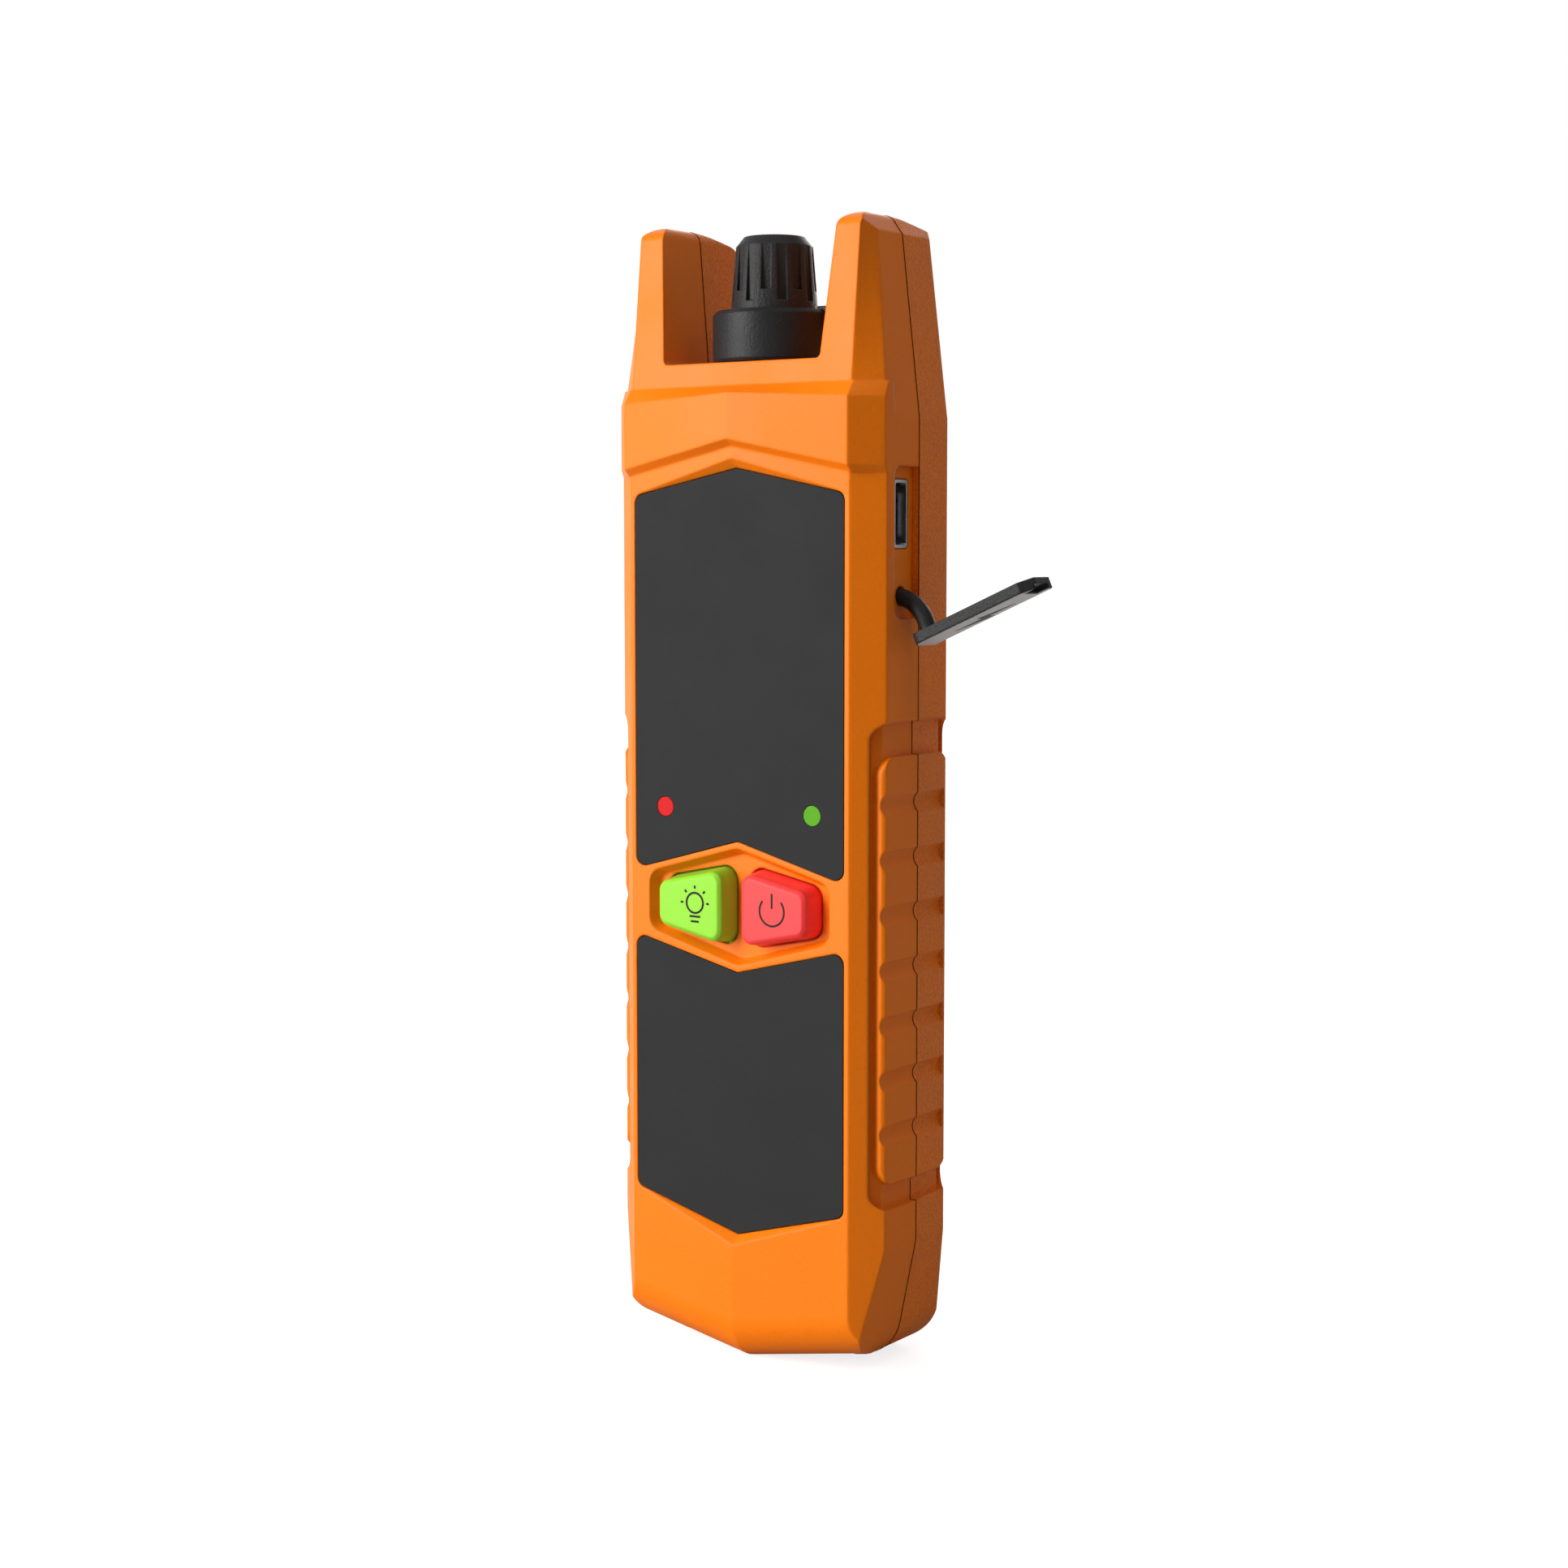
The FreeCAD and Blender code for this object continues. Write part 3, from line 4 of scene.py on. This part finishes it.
import bpy
import bmesh
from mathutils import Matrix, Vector


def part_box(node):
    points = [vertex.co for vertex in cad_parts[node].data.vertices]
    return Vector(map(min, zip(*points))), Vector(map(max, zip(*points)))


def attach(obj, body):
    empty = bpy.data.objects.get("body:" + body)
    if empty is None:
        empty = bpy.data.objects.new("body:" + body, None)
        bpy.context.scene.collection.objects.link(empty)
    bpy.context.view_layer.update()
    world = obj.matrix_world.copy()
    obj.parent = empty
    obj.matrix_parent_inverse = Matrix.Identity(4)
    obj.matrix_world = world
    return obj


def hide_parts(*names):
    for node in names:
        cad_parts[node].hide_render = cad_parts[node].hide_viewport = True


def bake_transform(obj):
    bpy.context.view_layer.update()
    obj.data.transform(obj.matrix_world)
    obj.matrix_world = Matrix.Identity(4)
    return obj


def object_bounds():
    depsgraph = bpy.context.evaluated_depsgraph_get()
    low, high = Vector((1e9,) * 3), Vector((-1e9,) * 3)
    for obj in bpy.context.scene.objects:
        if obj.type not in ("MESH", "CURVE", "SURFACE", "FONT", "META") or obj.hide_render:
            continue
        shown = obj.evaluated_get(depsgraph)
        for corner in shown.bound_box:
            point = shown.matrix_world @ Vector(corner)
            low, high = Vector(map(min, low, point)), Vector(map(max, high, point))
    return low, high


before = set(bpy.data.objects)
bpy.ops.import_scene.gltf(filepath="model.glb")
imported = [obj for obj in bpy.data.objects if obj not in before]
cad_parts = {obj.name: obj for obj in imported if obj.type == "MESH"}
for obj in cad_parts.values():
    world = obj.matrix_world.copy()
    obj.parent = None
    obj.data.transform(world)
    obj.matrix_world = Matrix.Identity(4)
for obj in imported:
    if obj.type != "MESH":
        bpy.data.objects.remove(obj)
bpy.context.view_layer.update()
MM = 0.001

# ---- Finishes ---------------------------------------------------------------
DRIFT_SIZE = 9.0          # mm across a patch of slow tone drift
DRIFT_SHARE = 0.25        # part of the tone that drifts; the rest is fine speckle
NOISE_RANGE = (0.3, 0.7)  # the values that noise mostly takes
ROUGH_DRIFT = (-0.04, 0.05)
GRAIN_DEPTH = 0.05        # mm
BEVEL_SAMPLES = 6
COAT_ROUGHNESS = 0.15


def finish(name, colour, rough, grain=0.0, grain_size=0.4, mottle=0.0, soften=0.0,
           metallic=0.0, coat=0.0, specular=0.2):
    """A moulded or metal finish: speckled tone, fine grain and softened edges; sizes in mm."""
    mat = bpy.data.materials.new(name)
    mat.use_nodes = True
    tree = mat.node_tree
    new, link = tree.nodes.new, tree.links.new
    shader = tree.nodes["Principled BSDF"]
    shader.inputs["Metallic"].default_value = metallic
    shader.inputs["Specular IOR Level"].default_value = specular
    shader.inputs["Coat Weight"].default_value = coat
    shader.inputs["Coat Roughness"].default_value = COAT_ROUGHNESS
    place = new("ShaderNodeTexCoord")

    def noise(size, detail):
        node = new("ShaderNodeTexNoise")
        node.inputs["Scale"].default_value = 1 / (size * MM)
        node.inputs["Detail"].default_value = detail
        link(place.outputs["Object"], node.inputs["Vector"])
        return node.outputs["Fac"]

    def spread(source, low, high):
        node = new("ShaderNodeMapRange")
        node.inputs["From Min"].default_value, node.inputs["From Max"].default_value = NOISE_RANGE
        node.inputs["To Min"].default_value = low
        node.inputs["To Max"].default_value = high
        link(source, node.inputs["Value"])
        return node.outputs["Result"]

    drift = noise(DRIFT_SIZE, 3)
    speckle = noise(grain_size, 2)
    mixed = new("ShaderNodeMix")
    mixed.inputs["Factor"].default_value = DRIFT_SHARE
    link(speckle, mixed.inputs["A"])
    link(drift, mixed.inputs["B"])
    tone = new("ShaderNodeMix")
    tone.data_type = "RGBA"
    tone.inputs["A"].default_value = tuple(c * (1 - mottle) for c in colour) + (1,)
    tone.inputs["B"].default_value = tuple(min(1, c * (1 + mottle)) for c in colour) + (1,)
    link(spread(mixed.outputs["Result"], 0, 1), tone.inputs["Factor"])
    link(tone.outputs["Result"], shader.inputs["Base Color"])
    link(spread(drift, rough + ROUGH_DRIFT[0], rough + ROUGH_DRIFT[1]),
         shader.inputs["Roughness"])
    if grain or soften:
        bump = new("ShaderNodeBump")
        bump.inputs["Strength"].default_value = min(1.0, grain)
        bump.inputs["Distance"].default_value = GRAIN_DEPTH * MM * (1 + grain)
        link(speckle, bump.inputs["Height"])
        if soften:
            bevel = new("ShaderNodeBevel")
            bevel.samples = BEVEL_SAMPLES
            bevel.inputs["Radius"].default_value = soften * MM
            link(bevel.outputs["Normal"], bump.inputs["Normal"])
        link(bump.outputs["Normal"], shader.inputs["Normal"])
    return mat


def linear(red, green, blue):
    """Screen colour, 0 to 255, as light, by the sRGB curve."""
    return tuple(((c / 255 + 0.055) / 1.055) ** 2.4 if c > 10 else c / 255 / 12.92
                 for c in (red, green, blue))


ORANGE_SATIN = finish("orange_satin", linear(240, 120, 6), rough=0.42, grain=0.3,
                      grain_size=0.30, mottle=0.04, soften=0.45, specular=0.16)
ORANGE_GRAINED = finish("orange_grained", linear(236, 118, 10), rough=0.5, grain=1.0,
                        grain_size=0.30, mottle=0.20, soften=0.45, specular=0.26)
LABEL_FILM = finish("label_film", linear(43, 43, 44), rough=0.7, grain=0.12,
                    grain_size=0.22, mottle=0.03, soften=0.12, specular=0.12)
GREEN_KEY = finish("green_key", linear(142, 214, 50), rough=0.36, grain=0.15,
                   grain_size=0.25, mottle=0.02, soften=0.35)
RED_KEY = finish("red_key", linear(250, 66, 66), rough=0.36, grain=0.15,
                 grain_size=0.25, mottle=0.02, soften=0.35)
RED_LENS = finish("red_lens", linear(200, 3, 6), rough=0.3, grain=0.05,
                  grain_size=0.3, mottle=0.03, soften=0.12, specular=0.08)
GREEN_LENS = finish("green_lens", linear(84, 158, 14), rough=0.3, grain=0.05,
                    grain_size=0.3, mottle=0.03, soften=0.12, specular=0.08)
CLEAR_LENS = finish("clear_lens", linear(225, 232, 230), rough=0.12, grain_size=0.3,
                    mottle=0.02, coat=0.6)
RUBBER = finish("black_rubber", linear(40, 39, 39), rough=0.5, grain=0.8,
                grain_size=0.28, mottle=0.16, soften=0.3)
BLACK_MOULDING = finish("black_moulding", linear(34, 34, 35), rough=0.45, grain=0.6,
                        grain_size=0.28, mottle=0.12, soften=0.3)
LAMINATE = finish("board_laminate", linear(20, 92, 50), rough=0.4, grain=0.2,
                  grain_size=0.5, mottle=0.1)
SWITCH_CASE = finish("switch_case", linear(48, 48, 50), rough=0.45, grain=0.2,
                     grain_size=0.3, mottle=0.05)
PLATED_STEEL = finish("plated_steel", (0.62, 0.63, 0.65), rough=0.28, grain=0.1,
                      grain_size=0.2, mottle=0.05, soften=0.1, metallic=1)
ZINC_STEEL = finish("zinc_steel", (0.45, 0.46, 0.48), rough=0.35, grain=0.2,
                    grain_size=0.2, mottle=0.08, soften=0.1, metallic=1)
NICKEL = finish("nickel_plate", (0.66, 0.64, 0.60), rough=0.22, grain=0.1,
                grain_size=0.2, mottle=0.03, soften=0.1, metallic=1)
BRASS = finish("turned_brass", (0.72, 0.52, 0.24), rough=0.28, grain=0.2,
               grain_size=0.15, mottle=0.06, soften=0.1, metallic=1)
FOIL = finish("cell_foil", (0.60, 0.61, 0.64), rough=0.3, grain=0.3,
              grain_size=1.2, mottle=0.05, metallic=1)
FOAM = finish("foam_pad", linear(70, 70, 74), rough=0.9, grain=1.0, grain_size=0.5, mottle=0.2)
ZIRCONIA = finish("zirconia", linear(238, 236, 228), rough=0.2, grain=0.05,
                  grain_size=0.2, mottle=0.02)
SEAL_RUBBER = finish("seal_rubber", linear(58, 58, 60), rough=0.6, grain=0.3,
                     grain_size=0.3, mottle=0.08)
PARTING_SHADE = finish("parting_shade", linear(72, 32, 2), rough=0.7, grain=0.1,
                       grain_size=0.3, mottle=0.1, specular=0.05)
# Painted reflection: a pale grey that stands in for the white floor reflected in the cover's downward
# outer face.
PAINTED_REFLECTION = finish("cover_painted_reflection", linear(200, 200, 199), rough=0.5, grain=0.2,
                    grain_size=0.25, mottle=0.04)
SYMBOL_INK = finish("symbol_ink", linear(30, 30, 28), rough=0.6, grain=0.1,
                    grain_size=0.2, mottle=0.1)

DRESS = {
    "front_shell": ORANGE_SATIN, "rear_shell": ORANGE_GRAINED,
    "upper_label": LABEL_FILM, "lower_label": LABEL_FILM,
    "torch_button": GREEN_KEY, "laser_button": RED_KEY,
    "charge_light": RED_LENS, "laser_light": GREEN_LENS, "torch_led": CLEAR_LENS,
    "main_board": LAMINATE, "torch_switch": SWITCH_CASE, "laser_switch": SWITCH_CASE,
    "usb_receptacle": PLATED_STEEL, "port_cover": RUBBER, "cover_tether": RUBBER,
    "battery_cell": FOIL, "battery_pad": FOAM,
    "laser_module": BRASS, "ferrule_sleeve": ZIRCONIA, "connector_barrel": NICKEL,
    "connector_collar": BLACK_MOULDING, "dust_cap": RUBBER,
    "case_screws": ZINC_STEEL, "shell_seal": SEAL_RUBBER,
}
for node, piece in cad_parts.items():
    piece.data.materials.clear()
    piece.data.materials.append(DRESS[node])


# ---- Making pieces ----------------------------------------------------------
def add_piece(name, bm, material, body):
    """A mesh piece that rides on a body."""
    bmesh.ops.recalc_face_normals(bm, faces=bm.faces)
    mesh = bpy.data.meshes.new(name)
    bm.to_mesh(mesh)
    bm.free()
    piece = bpy.data.objects.new(name, mesh)
    bpy.context.collection.objects.link(piece)
    mesh.materials.append(material)
    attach(piece, body)


def in_front(x, z):
    """A step in the front plane, in mm."""
    return Vector((x, 0, z)) * MM


def clockwise(angle):
    """The direction at an angle in degrees, clockwise from straight up in the front plane."""
    return Vector((math.sin(math.radians(angle)), 0, math.cos(math.radians(angle))))


def face_centre(node):
    """Middle of a key's face."""
    low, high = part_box(node)
    return Vector(((low[0] + high[0]) / 2, low[1], (low[2] + high[2]) / 2))


# ---- Key symbols ------------------------------------------------------------
INK_WIDTH = 0.24 * MM
INK_LIFT = Vector((0, 0.03, 0)) * MM


def stroke(bm, points, closed=False):
    """A flat ribbon of ink along points in the front plane."""
    count = len(points)
    rings = []
    for i, point in enumerate(points):
        before = points[i - 1] if closed or i else point
        after = points[(i + 1) % count] if closed or i < count - 1 else point
        way = (after - before).normalized()
        side = Vector((-way.z, 0, way.x)) * INK_WIDTH / 2
        corners = (point + side, point - side, point - side - INK_LIFT, point + side - INK_LIFT)
        rings.append([bm.verts.new(corner) for corner in corners])
    for i in range(count if closed else count - 1):
        here, there = rings[i], rings[(i + 1) % count]
        for k in range(4):
            bm.faces.new((here[k], here[(k + 1) % 4], there[(k + 1) % 4], there[k]))
    if not closed:
        bm.faces.new(rings[0][::-1])
        bm.faces.new(rings[-1])


def torch_symbol():
    """A bulb with five rays and a two-line base, towards the inner end of the green key."""
    ring_radius, ring_steps = 1.15 * MM, 32
    ray_start, ray_end = 1.62 * MM, 1.98 * MM
    bulb = face_centre("torch_button") + in_front(0.87, 0.3)
    bm = bmesh.new()
    stroke(bm, [bulb + clockwise(360 * i / ring_steps) * ring_radius
                for i in range(ring_steps)], closed=True)
    for angle in (-90, -45, 0, 45, 90):
        stroke(bm, [bulb + clockwise(angle) * ray_start, bulb + clockwise(angle) * ray_end])
    for half, drop in ((0.74, -1.55), (0.55, -2.12)):
        stroke(bm, [bulb + in_front(-half, drop), bulb + in_front(half, drop)])
    add_piece("torch_symbol", bm, SYMBOL_INK, "torch_button_body")


def power_symbol():
    """An open ring with a bar in its gap, on the red key."""
    ring_radius, ring_steps, half_gap = 1.65 * MM, 28, 48
    centre = face_centre("laser_button") + in_front(-0.03, 0.1)
    sweep = 360 - 2 * half_gap
    bm = bmesh.new()
    stroke(bm, [centre + clockwise(half_gap + sweep * i / ring_steps) * ring_radius
                for i in range(ring_steps + 1)])
    stroke(bm, [centre + in_front(0, 2.0), centre + in_front(0, 0.3)])
    add_piece("power_symbol", bm, SYMBOL_INK, "laser_button_body")


torch_symbol()
power_symbol()

# ---- Port cover: painted reflection of the white floor as a pale slab on its outer face, with a printed charging bolt ---
PLATE_INSET = 0.16 * MM
PLATE_LIFT = 0.05 * MM
BOLT_LIFT = 0.08 * MM
SLAB_SINK = 0.02 * MM
SAME_PLANE = 0.01 * MM
TURNED = 0.1              # least lean of a normal that counts as facing that way
BOLT = ((0.35, 3.9), (-1.15, -0.4), (-0.1, -0.4), (-0.35, -3.9), (1.15, 0.4), (0.1, 0.4))


def add_slab(name, loop, out, lift, material):
    """A thin slab on the cover, on a loop of points and proud of them in a direction."""
    bm = bmesh.new()
    top = [bm.verts.new(point + out * lift) for point in loop]
    foot = [bm.verts.new(point - out * SLAB_SINK) for point in loop]
    bm.faces.new(top)
    bm.faces.new(foot[::-1])
    for i in range(len(loop)):
        k = (i + 1) % len(loop)
        bm.faces.new((top[i], foot[i], foot[k], top[k]))
    add_piece(name, bm, material, "port_cover_body")


def cover_face():
    """The outer face of the open port cover: its outline, set in, and the way that it faces."""
    bm = bmesh.new()
    bm.from_mesh(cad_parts["port_cover"].data)
    outer = max((f for f in bm.faces if f.normal.x > TURNED and f.normal.z < -TURNED),
                key=lambda f: f.calc_area())
    out = outer.normal.copy()
    reach = max(v.co.dot(out) for v in bm.verts)
    bmesh.ops.delete(bm, context="FACES", geom=[
        f for f in bm.faces if any(v.co.dot(out) < reach - SAME_PLANE for v in f.verts)])
    bmesh.ops.dissolve_faces(bm, faces=bm.faces[:])
    rim = bmesh.ops.inset_individual(bm, faces=bm.faces[:], thickness=PLATE_INSET,
                                     use_even_offset=True)["faces"]
    bmesh.ops.delete(bm, geom=rim, context="FACES")
    largest = max(bm.faces, key=lambda f: f.calc_area())
    outline = [v.co.copy() for v in largest.verts]
    bm.free()
    return outline, out


def cover_painted_reflection():
    """The pale slab of painted reflection of the white floor, and the printed charging bolt at the
    middle of its length.
    """
    outline, out = cover_face()
    along = Vector((-out.z, 0, out.x))
    across = Vector((0, 1, 0))
    lengths = [point.dot(along) for point in outline]
    centre = sum(outline, Vector()) / len(outline)
    centre += along * ((max(lengths) + min(lengths)) / 2 - centre.dot(along))
    bolt = [centre + (across * side + along * length) * MM for side, length in BOLT]
    add_slab("cover_painted_reflection", outline, out, PLATE_LIFT, PAINTED_REFLECTION)
    add_slab("charging_symbol", bolt, out, BOLT_LIFT, SYMBOL_INK)


cover_painted_reflection()

# ---- Cover strap: a copy of the tether, which runs from its eyelet in the housing to its foot on the cover; the tether itself is hidden
strap = bpy.data.objects.new("cover_strap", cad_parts["cover_tether"].data.copy())
bpy.context.collection.objects.link(strap)
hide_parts("cover_tether")
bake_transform(strap)

# ---- Parting line: a hairline of shade where the two shells meet -------------
THREAD_RADIUS = 0.06 * MM
CUT_DEPTH = 0.02 * MM
WELD = 0.002 * MM
OUTER_BAND = 0.5 * MM


def chains_of(edges):
    """Lists of vertices along joined edges, in the same order at every run."""
    left = dict.fromkeys(edges)
    chains = []
    while left:
        first = next(iter(left))
        del left[first]
        chain = list(first.verts)
        for _ in range(2):  # once for each end
            while True:
                ahead = [e for e in chain[-1].link_edges if e in left]
                if not ahead:
                    break
                del left[ahead[0]]
                chain.append(ahead[0].other_vert(chain[-1]))
            chain.reverse()
        chains.append(chain)
    return chains


def parting_line():
    """A thin dark thread along the outline of the rear shell, cut just behind the front one."""
    bm = bmesh.new()
    bm.from_mesh(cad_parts["rear_shell"].data)
    bmesh.ops.remove_doubles(bm, verts=bm.verts[:], dist=WELD)
    cut = bmesh.ops.bisect_plane(bm, geom=bm.verts[:] + bm.edges[:] + bm.faces[:],
                                 plane_co=(0, CUT_DEPTH, 0), plane_no=(0, 1, 0))
    chains = chains_of([g for g in cut["geom_cut"] if isinstance(g, bmesh.types.BMEdge)])
    reaches = [max(abs(v.co.x) for v in chain) for chain in chains]
    curve = bpy.data.curves.new("parting_line", "CURVE")
    curve.dimensions = "3D"
    curve.bevel_depth = THREAD_RADIUS
    curve.bevel_resolution = 1
    for chain, reach in zip(chains, reaches):
        if reach < max(reaches) - OUTER_BAND:
            continue
        line = curve.splines.new("POLY")
        line.points.add(len(chain) - 1)
        for point, vert in zip(line.points, chain):
            point.co = (vert.co.x, 0, vert.co.z, 1)
    bm.free()
    curve.materials.append(PARTING_SHADE)
    thread = bpy.data.objects.new("parting_line", curve)
    bpy.context.collection.objects.link(thread)
    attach(thread, "housing")


parting_line()

# ---- Floor and world --------------------------------------------------------
# Gloss sees a white wall on this side of the studio, and a plain dim room elsewhere.
BACKDROP = Vector((-0.57, 0.82, 0.0))
BACKDROP_EDGE = (0.4, 0.75)
DIM_ROOM = 0.22
FLOOR_HALF = 3.0
FLOOR_GAP = 0.05 * MM
FLOOR_GREY = 0.45
FLOOR_NEAR, FLOOR_FAR = 0.8, 1.0
FLOOR_FADE = 0.45


def operate(tree, operation, one, other):
    """A Math node on two outputs."""
    node = tree.nodes.new("ShaderNodeMath")
    node.operation = operation
    tree.links.new(one, node.inputs[0])
    tree.links.new(other, node.inputs[1])
    return node.outputs["Value"]


def ramp(tree, source, low, high, start, end):
    """Rises smoothly from start to end as the source goes from low to high."""
    node = tree.nodes.new("ShaderNodeMapRange")
    node.interpolation_type = "SMOOTHSTEP"
    node.inputs["From Min"].default_value = low
    node.inputs["From Max"].default_value = high
    node.inputs["To Min"].default_value = start
    node.inputs["To Max"].default_value = end
    tree.links.new(source, node.inputs["Value"])
    return node.outputs["Result"]


def background_seen(tree, way):
    """1 where the background is looked at straight, or by glass, or by gloss at the backdrop."""
    path = tree.nodes.new("ShaderNodeLightPath")
    unit = tree.nodes.new("ShaderNodeVectorMath")
    unit.operation = "NORMALIZE"
    tree.links.new(way, unit.inputs[0])
    facing = tree.nodes.new("ShaderNodeVectorMath")
    facing.operation = "DOT_PRODUCT"
    facing.inputs[1].default_value = BACKDROP
    tree.links.new(unit.outputs["Vector"], facing.inputs[0])
    wall = ramp(tree, facing.outputs["Value"], *BACKDROP_EDGE, 0, 1)
    gloss = operate(tree, "MULTIPLY", path.outputs["Is Glossy Ray"], wall)
    clear = operate(tree, "MAXIMUM", gloss, path.outputs["Is Transmission Ray"])
    return operate(tree, "MAXIMUM", clear, path.outputs["Is Camera Ray"])


def paper():
    """A pale matte floor: white to the camera, and whiter away from the object."""
    mat = bpy.data.materials.new("floor_paper")
    mat.use_nodes = True
    tree = mat.node_tree
    base = tree.nodes["Principled BSDF"]
    base.inputs["Base Color"].default_value = (FLOOR_GREY, FLOOR_GREY, FLOOR_GREY, 1)
    base.inputs["Roughness"].default_value = 0.9
    base.inputs["Specular IOR Level"].default_value = 0.1
    base.inputs["Emission Color"].default_value = (1, 1, 1, 1)
    place = tree.nodes.new("ShaderNodeTexCoord").outputs["Object"]
    away = tree.nodes.new("ShaderNodeVectorMath")
    away.operation = "LENGTH"
    tree.links.new(place, away.inputs[0])
    glow = ramp(tree, away.outputs["Value"], 0, FLOOR_FADE, FLOOR_NEAR, FLOOR_FAR)
    seen = operate(tree, "MULTIPLY", background_seen(tree, place), glow)
    tree.links.new(seen, base.inputs["Emission Strength"])
    return mat


def lay_floor():
    """A wide sheet of paper just under the object."""
    bm = bmesh.new()
    bmesh.ops.create_grid(bm, x_segments=2, y_segments=2, size=FLOOR_HALF)
    mesh = bpy.data.meshes.new("floor")
    bm.to_mesh(mesh)
    bm.free()
    mesh.materials.append(paper())
    floor = bpy.data.objects.new("floor", mesh)
    bpy.context.collection.objects.link(floor)
    floor.location.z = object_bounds()[0][2] - FLOOR_GAP


def light_room():
    """A world that is white to look at and lights the object dimly."""
    world = bpy.data.worlds.new("studio")
    bpy.context.scene.world = world
    world.use_nodes = True
    tree = world.node_tree
    sky = tree.nodes["Background"]
    sky.inputs["Color"].default_value = (1, 1, 1, 1)
    level = tree.nodes.new("ShaderNodeMapRange")
    level.inputs["To Min"].default_value = DIM_ROOM
    level.inputs["To Max"].default_value = 1.0
    way = tree.nodes.new("ShaderNodeTexCoord").outputs["Generated"]
    tree.links.new(background_seen(tree, way), level.inputs["Value"])
    tree.links.new(level.outputs["Result"], sky.inputs["Strength"])


lay_floor()
light_room()

# ---- Lamps: place and size in metres, power in watts ------------------------
LAMP_AIM = Vector((0, 0, 64)) * MM
LAMPS = {
    "key": ((-0.40, -0.62, 0.36), (0.35, 0.5), 6.4),
    "low_fill": ((-0.42, -0.58, 0.07), (0.5, 0.12), 1.9),
    "top": ((0.24, -0.10, 0.62), (0.3, 0.3), 0.5),
    "rim": ((0.60, 0.50, 0.35), (0.2, 0.5), 0.25),
    "back": ((-0.30, 0.80, 0.30), (0.5, 0.5), 4.0),
}


def softbox(name, place, size, power):
    """A rectangular lamp that faces the object."""
    lamp = bpy.data.lights.new(name, "AREA")
    lamp.shape = "RECTANGLE"
    lamp.size, lamp.size_y = size
    lamp.energy = power
    holder = bpy.data.objects.new(name, lamp)
    holder.location = Vector(place)
    holder.rotation_euler = (LAMP_AIM - holder.location).to_track_quat("-Z", "Y").to_euler()
    bpy.context.collection.objects.link(holder)


for lamp_name, (place, size, power) in LAMPS.items():
    softbox(lamp_name, place, size, power)

# ---- Camera -----------------------------------------------------------------
AZIMUTH = math.radians(34.43)
ELEVATION = math.radians(4.915)
TARGET = Vector((6.355, -9.3, 66.37)) * MM
DISTANCE = 293.3 * MM
away = Vector((math.sin(AZIMUTH) * math.cos(ELEVATION),
               -math.cos(AZIMUTH) * math.cos(ELEVATION), math.sin(ELEVATION)))
camera = bpy.data.objects.new("camera", bpy.data.cameras.new("camera"))
camera.data.sensor_width = 36
camera.data.lens = 60.66
camera.data.clip_start = 0.01
camera.location = TARGET + away * DISTANCE
camera.rotation_euler = away.to_track_quat("Z", "Y").to_euler()
bpy.context.collection.objects.link(camera)
bpy.context.scene.camera = camera
bpy.context.scene.view_settings.view_transform = "Standard"
